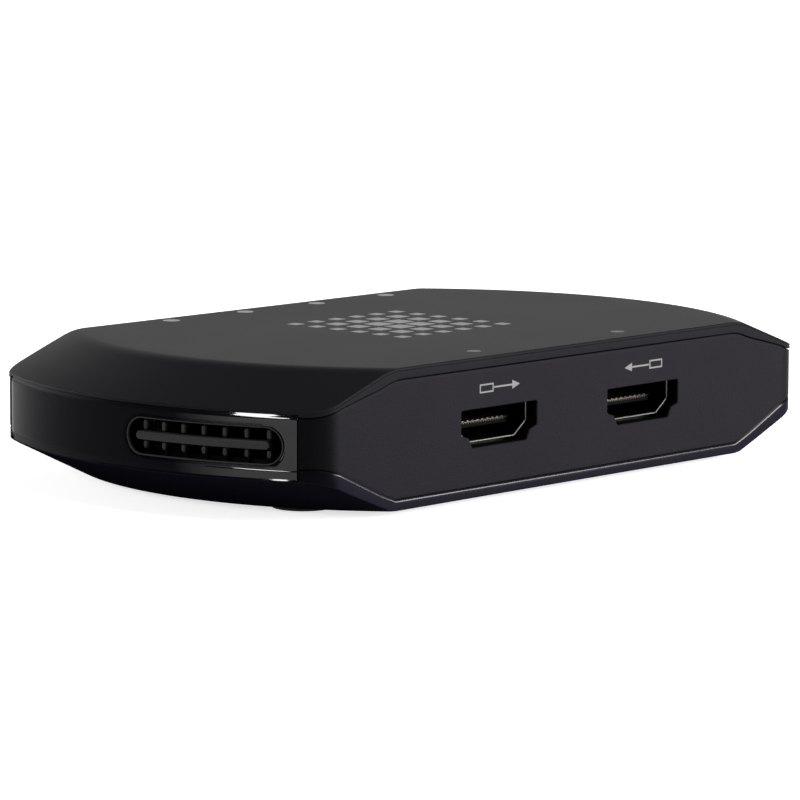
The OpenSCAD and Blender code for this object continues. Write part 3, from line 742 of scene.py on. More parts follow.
def soft_box(bm, low, high, radius):
    """A box between two corners with rounded edges."""
    made = bmesh.ops.create_cube(bm, size=1.0)["verts"]
    middle = (Vector(low) + Vector(high)) / 2
    span = Vector(high) - Vector(low)
    for v in made:
        v.co = middle + Vector([a * b for a, b in zip(v.co, span)])
    edges = list({e for v in made for e in v.link_edges})
    made = bmesh.ops.bevel(bm, geom=edges, offset=radius, segments=2, profile=0.5, affect="EDGES")
    for face in made["faces"]:
        face.smooth = True


def depth_bar(bm, x, z, size, front, back, radius):
    """A rounded bar along the depth; size gives its width and height about a place."""
    soft_box(bm, Vector((x, front, z)) - size / 2, Vector((x, back, z)) + size / 2, radius)


def port_sheet():
    """Nickel-plated sheet: bright on the mouth's cut edge, darkened further in by painted shade and oxide."""
    material, shader, place = new_material("port_sheet", {"Metallic": 1.0})
    # Painted shade and oxide: near black deeper in from the mouth.
    dark = (MOUTH_DEPTH - place.axis("Y").absolute()).ramp(0.0, SHADE_AND_OXIDE_DEPTH)
    stain = place.noise(SHEET_STAIN, GRAIN_DETAIL)
    dark.mix(stain.mix(SHEET_DULL, SHEET_BRIGHT), grey(SHADE_AND_OXIDE_LEVEL)).into(shader, "Base Color")
    (SHEET_ROUGH + stain * SHEET_SHEEN).into(shader, "Roughness")
    return material


def centre_of(name):
    """Middle of a node's box."""
    low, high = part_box(name)
    return (low + high) / 2


sheet_metal = port_sheet()
# Painted shade: the contacts' metal is coloured dark for the shade inside the port.
shade_darkened_contact = plated_metal("shade_darkened_contact", colour=(0.075, 0.068, 0.058, 1), rough=0.42, grain=0.1 * MM)
connector_black = moulded_plastic("connector_black", level=0.005, rough=0.5, gloss=0.01, grain=0.2 * MM,
                                  relief=0.003 * MM)
for side in ("out", "in"):
    shell_low, shell_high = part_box(f"video_{side}_shell")
    middle = centre_of(f"video_{side}_shell")
    tongue_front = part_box(f"video_{side}_insert")[0].y
    bm = bmesh.new()
    sheet_tube(bm, port_outline, middle.x, middle.z + SHELL_RISE, shell_low.y - SHELL_OUT, shell_high.y)
    piece(f"video_{side}_sheet_shell", bm, sheet_metal, "port_steel", f"video_{side}_shell")
    bm = bmesh.new()
    block = port_outline(-FIT_GAP)
    block_front = shell_high.y - BLOCK_LENGTH
    capped_loft(bm, [upright(block, middle.x, y, middle.z + SHELL_RISE) for y in (block_front, shell_high.y)])
    tongue_z = middle.z - TONGUE_DROP
    tip_back = tongue_front + CONTACT_THICKNESS
    depth_bar(bm, middle.x, tongue_z, TONGUE, tip_back, block_front + WALL, TONGUE_ROUND)
    piece(f"video_{side}_tongue", bm, connector_black, "connector_plastic", f"video_{side}_insert")
    bm = bmesh.new()
    for face, count in ((1, CONTACT_COUNT), (-1, CONTACT_COUNT - 1)):
        front = tip_back if face > 0 else tongue_front + LOWER_SET_BACK
        z = tongue_z + face * (TONGUE.z + CONTACT.z) / 2
        for k in range(count):
            x = middle.x + (k - (count - 1) / 2) * CONTACT_PITCH
            depth_bar(bm, x, z, CONTACT, front, block_front, CONTACT.z / 4)
    edge_z = tongue_z + TONGUE.z / 2
    soft = CONTACT_EDGE.z / 4
    depth_bar(bm, middle.x, edge_z - CONTACT_EDGE.z / 2, CONTACT_EDGE, tongue_front, tip_back, soft)
    piece(f"video_{side}_contact_row", bm, shade_darkened_contact, "contact_gold", f"video_{side}_contacts")
    bm = bmesh.new()
    depth_bar(bm, 0, edge_z - CONTACT_TAB.z / 2, CONTACT_TAB, tongue_front, tip_back, soft)
    tabs = piece(f"video_{side}_contact_tabs", bm, shade_darkened_contact, "contact_gold")
    tab_first = (middle.x - CONTACT_PITCH * (CONTACT_COUNT - 1) / 2, 0, 0)
    in_rows(tabs, 2 * CONTACT_COUNT - 1, 1, (CONTACT_PITCH / 2, 0, 0), (0, 0, 0), tab_first)
    dress(tabs, "contact_gold", f"video_{side}_contacts")

# Rear connectors: a small oval data connector, with gold pads on a black tongue in a plated shell, and three
# moulded audio jacks. They are soldered to the board, and the jacks' barrels pass through the rear panel.
DATA_WIDTH = 8.34 * MM
DATA_HEIGHT = 2.56 * MM
DATA_TONGUE = Vector((6.7 * MM, 0, 0.7 * MM))
DATA_BLOCK = 1.8 * MM
DATA_PADS = 12
DATA_PAD_PITCH = 0.5 * MM
DATA_PAD = Vector((0.28 * MM, 0, 0.08 * MM))
JACK_BORE = 1.8 * MM
JACK_BARREL = 2.9 * MM
JACK_NOSE = 0.3 * MM
JACK_FLOOR = 0.5 * MM
JACKS = ("line_in_jack", "headset_jack", "microphone_jack")
OVAL_STEPS = 16
FILL_INSIDE = 1
FILL_TOLERANCE = 1e-6


def oval_outline(length, height, grow=0.0, steps=1):
    """Oval with round ends, grown by a distance, with its straight sides cut into steps."""
    radius = height / 2 + grow
    straight = length - height
    outline = []
    for end in (1, -1):
        outline += [(end * straight * (k / steps - 0.5), end * radius) for k in range(steps)]
        for k in range(OVAL_STEPS):
            lean = math.pi / 2 - math.pi * k / OVAL_STEPS
            outline.append((end * (straight / 2 + radius * math.cos(lean)), end * radius * math.sin(lean)))
    return outline


def data_outline(grow):
    return oval_outline(DATA_WIDTH, DATA_HEIGHT, grow)


def inside(spot, outline):
    """True for a point inside a closed outline."""
    hit = False
    for a, b in zip(outline, outline[1:] + outline[:1]):
        if (a[1] > spot[1]) != (b[1] > spot[1]):
            hit ^= spot[0] < a[0] + (spot[1] - a[1]) * (b[0] - a[0]) / (b[1] - a[1])
    return hit


def fill(bm, outline, holes, flat):
    """Fills a loop of vertices with triangles, round its holes; flat gives a vertex's two coordinates."""
    loops = [outline, *holes]
    verts = [v for loop in loops for v in loop]
    spots = [Vector(flat(v)) / MM for v in verts]
    edges = []
    for loop in loops:
        first = len(edges)
        edges += [(first + k, first + (k + 1) % len(loop)) for k in range(len(loop))]
    hole_outlines = [[tuple(Vector(flat(v)) / MM) for v in loop] for loop in holes]
    _, _, faces, origins, _, _ = delaunay_2d_cdt(spots, edges, [], FILL_INSIDE, FILL_TOLERANCE)
    for face in faces:
        corners = [origins[k][0] for k in face]
        centre = sum((spots[k] for k in corners), Vector((0, 0))) / len(corners)
        if not any(inside(centre, o) for o in hole_outlines):
            bm.faces.new([verts[k] for k in corners])


def seen_from_front(vertex):
    return (vertex.co.x, vertex.co.z)


def soft_rectangle(low, high, radius):
    """Rectangle between two corners, with its own corners rounded."""
    points = [(low[0], high[1]), (high[0], high[1]), (high[0], low[1]), (low[0], low[1])]
    return rounded(points, radius)


data_low, data_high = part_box("data_shell")
data_middle = centre_of("data_shell")
bm = bmesh.new()
sheet_tube(bm, data_outline, data_middle.x, data_middle.z, data_high.y, data_low.y)
piece("data_sheet_shell", bm, sheet_metal, "port_steel", "data_shell")
bm = bmesh.new()
data_block_front = data_low.y + DATA_BLOCK
data_ends = (data_low.y, data_block_front)
capped_loft(bm, [upright(data_outline(-FIT_GAP), data_middle.x, y, data_middle.z) for y in data_ends])
tongue_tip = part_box("data_tongue")[1].y
tongue_root = data_block_front - WALL / 2
depth_bar(bm, data_middle.x, data_middle.z, DATA_TONGUE, tongue_root, tongue_tip, TONGUE_ROUND)
piece("data_oval_tongue", bm, connector_black, "connector_plastic", "data_tongue")
bm = bmesh.new()
pad_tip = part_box("data_contacts")[1].y
depth_bar(bm, 0, 0, DATA_PAD, data_block_front, pad_tip, DATA_PAD.z / 4)
gold_flash = plated_metal("gold_flash", colour=(0.55, 0.4, 0.17, 1), rough=0.3, grain=0.1 * MM)
pads = piece("data_pad_rows", bm, gold_flash, "contact_gold")
pad_lift = (DATA_TONGUE.z + DATA_PAD.z) / 2
pad_first = (data_middle.x - DATA_PAD_PITCH * (DATA_PADS - 1) / 2, 0, data_middle.z - pad_lift)
in_rows(pads, DATA_PADS, 2, (DATA_PAD_PITCH, 0, 0), (0, 0, 2 * pad_lift), pad_first)
dress(pads, "contact_gold", "data_contacts")

for name in JACKS:
    jack_low, jack_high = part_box(name)
    jack = centre_of(name)
    jack_face = data_high.y
    bore_floor = jack_low.y + JACK_FLOOR
    jack_profile = [(JACK_BARREL, jack_face), (JACK_BARREL, jack_high.y - JACK_NOSE)]
    for lean in QUARTER_TURN[1:]:
        radius = JACK_BARREL - JACK_NOSE * (1 - math.cos(lean))
        jack_profile.append((radius, jack_high.y - JACK_NOSE * (1 - math.sin(lean))))
    jack_profile += [(JACK_BORE + JACK_NOSE / 2, jack_high.y), (JACK_BORE, jack_high.y - JACK_NOSE / 2)]
    jack_profile += [(JACK_BORE, bore_floor), (0, bore_floor)]

    def jack_point(radius, turn, y):
        return (jack.x + radius * math.cos(turn), y, jack.z + radius * math.sin(turn))

    bm = bmesh.new()
    turned(bm, jack_profile, jack_point)
    body = soft_rectangle((jack_low.x, jack_low.z), (jack_high.x, jack_high.z), TONGUE_ROUND)
    rows = loft(bm, [upright(body, 0, jack_low.y, 0), upright(body, 0, jack_face, 0)])
    bm.faces.new(rows[0])
    barrel = [bm.verts.new(jack_point(JACK_BARREL, t, jack_face)) for t in circle(TURNED_STEPS)]
    fill(bm, rows[1], [barrel], seen_from_front)
    piece(name + "_barrel", bm, connector_black, "connector_plastic", name)

# Top cover: the upper half of the case in soft-touch matt black. Its flat face rolls over into a sloping rim
# that overhangs the side bands, with a fine line moulded along its front and rear edges. Six indicator
# windows and the pockets of the inlay pierce it.
TOP_TINT = (1.0, 0.98, 1.25)
TOP_COAT = (0.45, 0.9, 0.27, 0.52)
TOP_SOFT = 7 * MM
TOP_LIP = 0.12 * MM
TOP_SEAM_RIM = 0.6 * MM
TOP_CORNER_RIM = 0.8 * MM
TOP_EDGE_LINE = 0.15 * MM
WINDOW_GAP = 0.05 * MM
INLAY_COUNT = 6
INLAY_PITCH = 4.2 * MM
INLAY_TILE = 3.5 * MM
INLAY_SHRINK = 0.2
INLAY_THICKNESS = 0.4 * MM
TILE_CORNER = 0.3 * MM
WINDOW_STEPS = 24
top_plan = Plan(HALF_WIDTH)
top = Cover(top_plan, CASE_TOP, BAND_HIGH, soft=TOP_SOFT, lip=TOP_LIP, seam_rim=TOP_SEAM_RIM,
            corner_rim=TOP_CORNER_RIM, edge_line=TOP_EDGE_LINE)
inlay_middle = centre_of("top_inlay")
rear_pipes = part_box("rear_light_pipes")
FRONT_WINDOW = 2 * MM
REAR_WINDOW = 2.5 * MM
FRONT_WINDOW_IN = 5 * MM
REAR_WINDOW_IN = 2.8 * MM
REAR_WINDOWS = 4
port_x = centre_of("video_in_shell").x
rear_first = data_middle.x
rear_pitch = (rear_pipes[1].x - rear_pipes[0].x - REAR_WINDOW) / (REAR_WINDOWS - 1)


def tile_outline(side):
    half = side / 2
    return soft_rectangle((-half, -half), (half, half), TILE_CORNER * side / INLAY_TILE)


def level_at(outline, z):
    """Points of an outline drawn from above, at a height."""
    return [(p[0], p[1], z) for p in outline]


def disc(radius, steps=TURNED_STEPS, x=0.0, y=0.0):
    """Round outline about a middle."""
    return [(x + radius * math.cos(t), y + radius * math.sin(t)) for t in circle(steps)]


def top_openings():
    """Outlines and depths of the windows and tile pockets in the top face."""
    windows = [(x, FRONT_WINDOW_IN - HALF_DEPTH, FRONT_WINDOW) for x in (-port_x, port_x)]
    for k in range(REAR_WINDOWS):
        windows.append((rear_first + k * rear_pitch, HALF_DEPTH - REAR_WINDOW_IN, REAR_WINDOW))
    openings = [(disc(across / 2 + WINDOW_GAP, WINDOW_STEPS, x, y), WALL) for x, y, across in windows]
    middle = (INLAY_COUNT - 1) / 2
    for i in range(INLAY_COUNT):
        for j in range(INLAY_COUNT):
            ring = max(abs(i - middle), abs(j - middle)) - 0.5
            side = INLAY_TILE * (1 - INLAY_SHRINK * ring) + 2 * FIT_GAP
            x = inlay_middle.x + (i - middle) * INLAY_PITCH
            y = inlay_middle.y + (j - middle) * INLAY_PITCH
            openings.append(([(x + p[0], y + p[1]) for p in tile_outline(side)], INLAY_THICKNESS + FIT_GAP))
    return openings


soft_touch = moulded_plastic("soft_touch_black", level=0.008, rough=0.5, gloss=0.034, grain=0.22 * MM,
                             relief=0.004 * MM, tint=TOP_TINT, coat=TOP_COAT)
bm = bmesh.new()
rows = loft(bm, top.loops())
bm.faces.new(rows[-1])
hole_rows = []
for outline, depth in top_openings():
    upper, lower = loft(bm, [level_at(outline, z) for z in (CASE_TOP, CASE_TOP - depth)])
    bm.faces.new(lower)
    hole_rows.append(upper)
fill(bm, rows[0], hole_rows, lambda v: (v.co.x, v.co.y))
piece("top_cover_shell", bm, soft_touch, "top_plastic", "top_cover")

# Top inlay: a square field of small polished black tiles let into the top face, largest in the middle.
# Each tile is a thin moulding with softened edges.
TILE_ROUND = 0.06 * MM
HAZE_SIZE = 0.35 * MM
HAZE_DETAIL = 4.0
HAZE_SHADE = (0.8, 1.25)
HAZE_SHEEN = 0.04
RIPPLE_SIZE = 9 * MM
RIPPLE_RELIEF = 0.004 * MM
COAT_LEAN = (0.05, 0.12)
COAT_EDGE = 0.95
DULL_LEAN = (0.03, 0.1)
DULL_ROUGH = 0.3


def polished_black(name, level, gloss, rough, lacquer=None):
    """Polished black plastic with a slight ripple and haze.

    lacquer gives the depth where a coat starts, the one where it is full, and its weight on upright faces.
    Edges that lean up or down are duller where there is no lacquer.
    """
    material, shader, place = new_material(name, {"Specular IOR Level": gloss, "Coat Roughness": rough})
    if lacquer:
        start, full, weight = lacquer
        forward = place.axis("Y").ramp(start, full)
        edge = facing_up(place, *COAT_LEAN) * forward * COAT_EDGE
        edge.math("MAXIMUM", edge, forward * weight).into(shader, "Coat Weight")
        low, high = DULL_LEAN
        tilted = facing_up(place, low, high) + 1 - facing_up(place, -high, -low)
        rough = rough + tilted * (1 - forward) * DULL_ROUGH
    haze = place.noise(HAZE_SIZE, HAZE_DETAIL)
    haze.mix(*[grey(level * share, COOL) for share in HAZE_SHADE]).into(shader, "Base Color")
    (rough + haze * HAZE_SHEEN).into(shader, "Roughness")
    place.noise(RIPPLE_SIZE, detail=0.0).relief(shader, RIPPLE_RELIEF)
    return material


tile_gloss = polished_black("polished_tile", level=0.006, gloss=0.045, rough=0.15)
bm = bmesh.new()
tile_levels = ((INLAY_TILE, CASE_TOP - INLAY_THICKNESS), (INLAY_TILE, CASE_TOP - TILE_ROUND),
               (INLAY_TILE - 2 * TILE_ROUND, CASE_TOP))
capped_loft(bm, [level_at(tile_outline(side), z) for side, z in tile_levels])
tiles = piece("inlay_tiles", bm, tile_gloss, "inlay_gloss")
tile_reach = INLAY_PITCH * (INLAY_COUNT - 1) / 2
tile_first = (inlay_middle.x - tile_reach, inlay_middle.y - tile_reach, 0)
in_rows(tiles, INLAY_COUNT, INLAY_COUNT, (INLAY_PITCH, 0, 0), (0, INLAY_PITCH, 0), tile_first, INLAY_SHRINK)
dress(tiles, "inlay_gloss", "top_inlay")

# Light pipes: frosted clear mouldings that carry the light of the board's lamps up to the windows in the top.
# Their ends sit flush in the top face.
PIPE_INDEX = 1.49
PIPE_GLOSS = 0.4
FROST_SIZE = 0.12 * MM
FROST_DETAIL = 4.0
FROST_SHADE = (0.8, 1.3)
FROST_ROUGH = 0.32
FROST_SHEEN = 0.2
FROST_RELIEF = 0.004 * MM


def frosted_clear(name, level):
    material, shader, place = new_material(name, {"Specular IOR Level": PIPE_GLOSS, "IOR": PIPE_INDEX})
    frost = place.noise(FROST_SIZE, FROST_DETAIL)
    frost.mix(*[grey(level * share) for share in FROST_SHADE]).into(shader, "Base Color")
    (FROST_ROUGH + frost * FROST_SHEEN).into(shader, "Roughness")
    frost.relief(shader, FROST_RELIEF)
    return material


finish_nodes(frosted_clear("frosted_smoke", level=0.09), ("front_light_pipes",))
finish_nodes(frosted_clear("frosted_clear", level=0.28), ("rear_light_pipes",))

# End panels: fine-grained matt plates let into the mouth of the two covers, with a dark parting line round
# them. They wrap round the upright corners, painted darker there as shade, their cut walls are painted
# near black as shade, and they carry small printed arrows above the ports.
END_SEAM = 0.07 * MM
LOW_SEAM = 0.06 * MM
HIGH_SEAM = 0.15 * MM
PANEL_IN = 0.15 * MM
PANEL_ROUND = 0.16 * MM
PANEL_DEPTH = 2 * MM
PANEL_ROWS = 10
CUT_CHAMFER = 0.12 * MM
CUT_TOP = 2.42 * MM
CUT_BOTTOM = -2.85 * MM
CUT_HALF = 7.68 * MM
CUT_STEP_Z = -0.98 * MM
CUT_STEP_X = 6.15 * MM
CUT_STEP_DROP = 0.5 * MM
CUT_LOW_HALF = 5.5 * MM
CUT_CORNER = 0.3 * MM
CUT_STEPS = 5
CUT_REACH = 30 * MM
DATA_CUT_GAP = 0.7 * MM
JACK_CUT_GAP = 0.2 * MM


def port_cut(grow):
    """Stepped outline of the panel's opening in front of a video port."""
    wide = CUT_HALF + grow
    step = CUT_STEP_X + grow
    low = CUT_LOW_HALF + grow
    top_edge = CUT_TOP + grow
    drop = CUT_STEP_Z - grow / 2
    right = [(wide, top_edge), (wide, drop), (step, drop - CUT_STEP_DROP), (low, CUT_BOTTOM - grow)]
    return rounded([(-x, z) for x, z in reversed(right)] + right, CUT_CORNER + grow, CUT_STEPS)


def data_cut(grow):
    return data_outline(DATA_CUT_GAP + grow)


def jack_cut(grow):
    return disc(JACK_BARREL + JACK_CUT_GAP + grow)


def open_skin(bm, columns, start, stop, low, high, smooth_back):
    """Closes columns of vertices to a strip, but for a window between two columns and two rows.

    Returns the loops of vertices round the window, in the face and in the back.
    """
    for k, (here, there) in enumerate(zip(columns, columns[1:])):
        at_window = start <= k < stop
        for j in range(len(here) - 1):
            if not (at_window and low <= j < high):
                bm.faces.new((here[j], there[j], there[j + 1], here[j + 1])).smooth = True
        if not at_window:
            bm.faces.new((here[0], there[0], there[-1], here[-1])).smooth = smooth_back
    bm.faces.new(columns[0])
    bm.faces.new(columns[-1])
    span = columns[start:stop + 1]
    face = [c[low] for c in span] + span[-1][low + 1:high]
    face += [c[high] for c in reversed(span)] + span[0][high - 1:low:-1]
    return face, [c[0] for c in span] + [c[-1] for c in reversed(span)]


def end_panel(bm, end, cuts):
    """A panel at the front (end -1) or the rear (end 1), with cuts given as (outline, x, z)."""
    tol = SEAM_STEP / 2
    seam = side_plan.band_turn + tol
    turns = [t for t in side_plan.turns() if end * math.sin(t) > 0 and side_plan.fold(t) > seam]
    edge = [(PANEL_ROUND * (1 - math.sin(a)), PANEL_ROUND * (1 - math.cos(a))) for a in QUARTER_TURN]
    columns = []
    for turn in turns:
        low = bottom.rim_z(turn) + LOW_SEAM
        high = top.rim_z(turn) - HIGH_SEAM
        rise = [(inset, low + z) for inset, z in edge]
        fall = [(inset, high - z) for inset, z in reversed(edge)]
        start, stop = low + PANEL_ROUND + SUPPORT, high - PANEL_ROUND - SUPPORT
        face = [(0, start + (stop - start) * k / PANEL_ROWS) for k in range(PANEL_ROWS + 1)]
        rows = [(PANEL_DEPTH, low), *rise, *face, *fall, (PANEL_DEPTH, high)]
        step_in = PANEL_IN * top.end_share(turn)
        columns.append([bm.verts.new((*side_plan.point(turn, inset + step_in), z)) for inset, z in rows])
    first_face = 1 + len(edge)
    last_face = first_face + PANEL_ROWS
    flat = [k for k, t in enumerate(turns) if side_plan.fold(t) >= side_plan.end_turn - tol]
    face, back = open_skin(bm, columns, flat[0], flat[-1], first_face, last_face, smooth_back=False)
    levels = ((CUT_CHAMFER, 0.0), (0.0, CUT_CHAMFER), (0.0, PANEL_DEPTH))
    face_holes, back_holes = [], []
    for outline, x, z in cuts:
        depths = [(grow, end * (HALF_DEPTH - PANEL_IN - depth)) for grow, depth in levels]
        rows = loft(bm, [upright(outline(grow), x, y, z) for grow, y in depths])
        face_holes.append(rows[0])
        back_holes.append(rows[-1])
    fill(bm, face, face_holes, seen_from_front)
    fill(bm, back, back_holes, seen_from_front)


PANEL_TINT = (1.03, 0.94, 1.2)
PANEL_LEVELS = (0.0077, 0.0147)
# Painted shade on the panels where they turn the upright corners.
PANEL_CORNER = 0.0095 * PAINTED_CORNER_SHADE
PANEL_GLOSS = 0.02
PANEL_GRAIN = 0.24 * MM
PANEL_PATCH = 16 * MM
PANEL_RELIEF = 0.036 * MM
PANEL_ROUGH = 0.44
PANEL_SHEEN = 0.24
# Painted shade: the walls of the cuts are coloured near black.
CUT_SHADE_LEVEL = 0.0012
CUT_ROUGH = 0.5
INK_LEVEL = 0.22
INK_ROUGH = 0.1
SHAFT_START, SHAFT_STOP, SHAFT_HALF = -1.2, 2.6, 0.12
HEAD_START, HEAD_TIP, HEAD_SLOPE = 2.5, 4.1, 0.38
BOX_MIDDLE = -2.7
BOX_OUTER = (1.4, 0.62)
BOX_INNER = (1.18, 0.4)


def arrow_ink(along, lift):
    """Ink of one mark, an arrow beside a box, at a place in mm from the mark's middle."""
    shaft = (along > SHAFT_START) * (along < SHAFT_STOP) * (lift < SHAFT_HALF)
    head = (along > HEAD_START) * (along < HEAD_TIP) * (lift < (HEAD_TIP - along) * HEAD_SLOPE)
    away = (along - BOX_MIDDLE).absolute()
    outer = (away < BOX_OUTER[0]) * (lift < BOX_OUTER[1])
    inner = (away < BOX_INNER[0]) * (lift < BOX_INNER[1])
    return shaft + head + outer * (1 - inner)


def printed_panel(name, marks):
    """Grained matt plastic with light printed arrows; marks are (x, z, heading) of each arrow's middle."""
    material, shader, place = new_material(name, {"Specular IOR Level": PANEL_GLOSS})
    fine = place.noise(PANEL_GRAIN, GRAIN_DETAIL)
    broad = place.noise(PANEL_PATCH)
    across = place.axis("X") / MM
    height = place.axis("Z") / MM
    ink = 0.0
    for x, z, heading in marks:
        ink = ink + arrow_ink((across - x / MM) * heading, (height - z / MM).absolute())
    ink = ink.math("MINIMUM", ink, 1.0)
    # The cut walls behind the chamfer are painted near black as shade, and made rougher.
    inward = (HALF_DEPTH - PANEL_IN - place.axis("Y").absolute()) / MM
    cut_wall = (inward > CUT_CHAMFER / MM) * (across.absolute() < CUT_REACH / MM)
    body = (fine * 0.5 + broad * 0.5).mix(*[grey(level, PANEL_TINT) for level in PANEL_LEVELS])
    # Painted shade: darker past the upright corners.
    body = on_end(place).mix(grey(PANEL_CORNER, PANEL_TINT), body)
    body = cut_wall.mix(body, grey(CUT_SHADE_LEVEL))
    ink.mix(body, grey(INK_LEVEL)).into(shader, "Base Color")
    rough = PANEL_ROUGH + (fine - 0.5) * PANEL_SHEEN
    (rough + ink * INK_ROUGH + cut_wall * CUT_ROUGH).into(shader, "Roughness")
    fine.relief(shader, PANEL_RELIEF)
    return material


LABEL_RISE = 5.1 * MM
REAR_LABEL_RISE = 4.6 * MM
port_z = centre_of("video_in_shell").z
front_marks = [(-port_x, port_z + LABEL_RISE, 1), (port_x, port_z + LABEL_RISE, -1)]
front_cuts = [(port_cut, -port_x, port_z), (port_cut, port_x, port_z)]
jack_places = [centre_of(name) for name in JACKS]
rear_marks = [(p.x, port_z + REAR_LABEL_RISE, d) for p, d in zip(jack_places, (1, -1, 1))]
rear_cuts = [(data_cut, data_middle.x, data_middle.z)] + [(jack_cut, p.x, p.z) for p in jack_places]
for end, name, cuts, marks in ((-1, "front", front_cuts, front_marks), (1, "rear", rear_cuts, rear_marks)):
    bm = bmesh.new()
    end_panel(bm, end, cuts)
    grain = printed_panel(f"{name}_panel_grain", marks)
    piece(f"{name}_grained_panel", bm, grain, "panel_plastic", f"{name}_panel")

# Side bands: polished black strips bent round the two sides, held between the covers under the top one's
# overhang. A faint groove runs along each edge, and an oval vent with a rounded rim lies towards the front.
BAND_THICKNESS = 1.7 * MM
BAND_CHAMFER = 1.35 * MM
BAND_CHAMFER_IN = 0.2 * MM
CHAMFER_STEPS = 6
GROOVE_WIDTH = 0.22 * MM
GROOVE_DEPTH = 0.05 * MM
GROOVE_FADE = 16 * MM
BAND_EDGE = 0.14 * MM
BAND_LIP = 0.17 * MM
BAND_LIP_OUT = 0.036 * MM
BAND_END_ROUND = 0.4 * MM
BAND_ROWS = 12
VENT_LENGTH = 24 * MM
VENT_HEIGHT = 4.8 * MM
VENT_END_GAP = 2.2 * MM
VENT_ROUND = 0.4 * MM
VENT_RING = 0.26 * MM
VENT_RING_IN = 0.12 * MM
VENT_RING_DEPTH = 0.5 * MM
VENT_MARGIN = 1.5 * MM
VENT_COLUMNS = 72
VENT_RINGS = 6
SIDE_COLUMN = 1.2 * MM
LACQUER = (-11 * MM, -20 * MM, 0.58)
band_radius = HALF_WIDTH - OVERHANG
band_reach = (side_plan.band_turn - END_SEAM / band_radius) * band_radius
vent_place = -band_reach + VENT_END_GAP + VENT_LENGTH / 2
band_top = BAND_HIGH - FIT_GAP
band_bottom = BAND_LOW + FIT_GAP
band_middle = (BAND_LOW + BAND_HIGH) / 2


def on_side(side, along, depth, z):
    """A point on the left (-1) or right (1) side, at a distance along the band and a depth below its face."""
    turn = along / band_radius
    radius = band_radius - depth
    return (side * radius * math.cos(turn), radius * math.sin(turn), z)


def band_section():
    """Depth and height of the band's outer surface, from the bottom edge up, and its flat stretch's rows."""
    steps = [1 - k / CHAMFER_STEPS for k in range(CHAMFER_STEPS + 1)]
    edge_in = BAND_CHAMFER_IN + BAND_EDGE
    lip = BAND_CHAMFER_IN - BAND_LIP_OUT
    lower = [(BAND_THICKNESS, 0.0), (edge_in, 0.0), (lip, 0.5 * BAND_EDGE)]
    foot_z = 0.5 * BAND_EDGE + BAND_LIP
    lower += [(BAND_CHAMFER_IN * t * t, BAND_CHAMFER + (foot_z - BAND_CHAMFER) * t) for t in steps]
    lower += [(GROOVE_DEPTH, BAND_CHAMFER + GROOVE_WIDTH / 2), (0.0, BAND_CHAMFER + GROOVE_WIDTH)]
    upper = [(depth if depth != GROOVE_DEPTH else GROOVE_DEPTH / 4, z) for depth, z in lower]
    flat_low = band_bottom + lower[-1][1] + SUPPORT
    flat_high = band_top - lower[-1][1] - SUPPORT
    rise = [(depth, band_bottom + z) for depth, z in lower]
    face = [(0.0, flat_low + (flat_high - flat_low) * k / BAND_ROWS) for k in range(BAND_ROWS + 1)]
    fall = [(depth, band_top - z) for depth, z in reversed(upper)]
    return rise + face + fall, len(rise), len(rise) + BAND_ROWS


def side_band(bm, side):
    """A band on the left (-1) or right (1) side, with rings of faces that close in on the vent's rim."""
    section, first_face, last_face = band_section()
    grooves = (first_face - 2, len(section) - first_face + 1)
    vent_start = vent_place - VENT_LENGTH / 2 - VENT_MARGIN
    vent_stop = vent_place + VENT_LENGTH / 2 + VENT_MARGIN
    ends = [BAND_END_ROUND * (1 - math.cos(a)) for a in QUARTER_TURN]
    rear_count = int((band_reach - vent_stop) / SIDE_COLUMN)
    places = [-band_reach + d for d in ends]
    places += [vent_start + (vent_stop - vent_start) * k / VENT_COLUMNS for k in range(VENT_COLUMNS + 1)]
    rear_stop = band_reach - BAND_END_ROUND
    places += [vent_stop + (rear_stop - vent_stop) * k / rear_count for k in range(1, rear_count)]
    places += [band_reach - d for d in reversed(ends)]
    flat = {}

    def vert(along, depth, z):
        v = bm.verts.new(on_side(side, along, depth, z))
        flat[v] = (along, z)
        return v

    columns = []
    for along in places:
        from_end = min(band_reach - abs(along), BAND_END_ROUND) / BAND_END_ROUND
        sink = BAND_END_ROUND * (1 - math.sqrt(1 - (1 - from_end) ** 2))
        cut = max(0.0, min(1.0, (vent_place - along) / GROOVE_FADE + 0.5))
        depths = [depth * cut if k in grooves else depth for k, (depth, _) in enumerate(section)]
        columns.append([vert(along, min(BAND_THICKNESS, d + sink), z) for d, (_, z) in zip(depths, section)])
    start = len(ends)
    stop = start + VENT_COLUMNS
    border, back = open_skin(bm, columns, start, stop, first_face, last_face, smooth_back=True)
    straight = (VENT_LENGTH - VENT_HEIGHT) / 2
    radius = VENT_HEIGHT / 2 + VENT_RING
    reaches = []
    for v in border:
        along, z = flat[v]
        centre = Vector((vent_place + max(-straight, min(straight, along - vent_place)), band_middle))
        way = Vector((along, z)) - centre
        reaches.append((centre, way.normalized(), way.length))
    rings = [border]

    def ring(offset_of, depth):
        spots = [centre + way * offset_of(length) for centre, way, length in reaches]
        rings.append([vert(s.x, depth, s.y) for s in spots])

    for k in range(1, VENT_RINGS + 1):
        ring(lambda length: length + (radius + VENT_ROUND - length) * k / VENT_RINGS, 0.0)
    for a in QUARTER_TURN[1:]:
        ring(lambda length: radius + VENT_ROUND * (1 - math.sin(a)), VENT_ROUND * (1 - math.cos(a)))
    ring(lambda length: radius, BAND_THICKNESS)
    for row, other in zip(rings, rings[1:]):
        bridge(bm, row, other)
    fill(bm, back, [rings[-1]], lambda v: flat[v])


piano_black = polished_black("piano_black", level=0.003, gloss=0.016, rough=0.05, lacquer=LACQUER)
for side, name in ((-1, "left"), (1, "right")):
    bm = bmesh.new()
    side_band(bm, side)
    piece(f"{name}_gloss_band", bm, piano_black, "band_gloss", f"{name}_band")

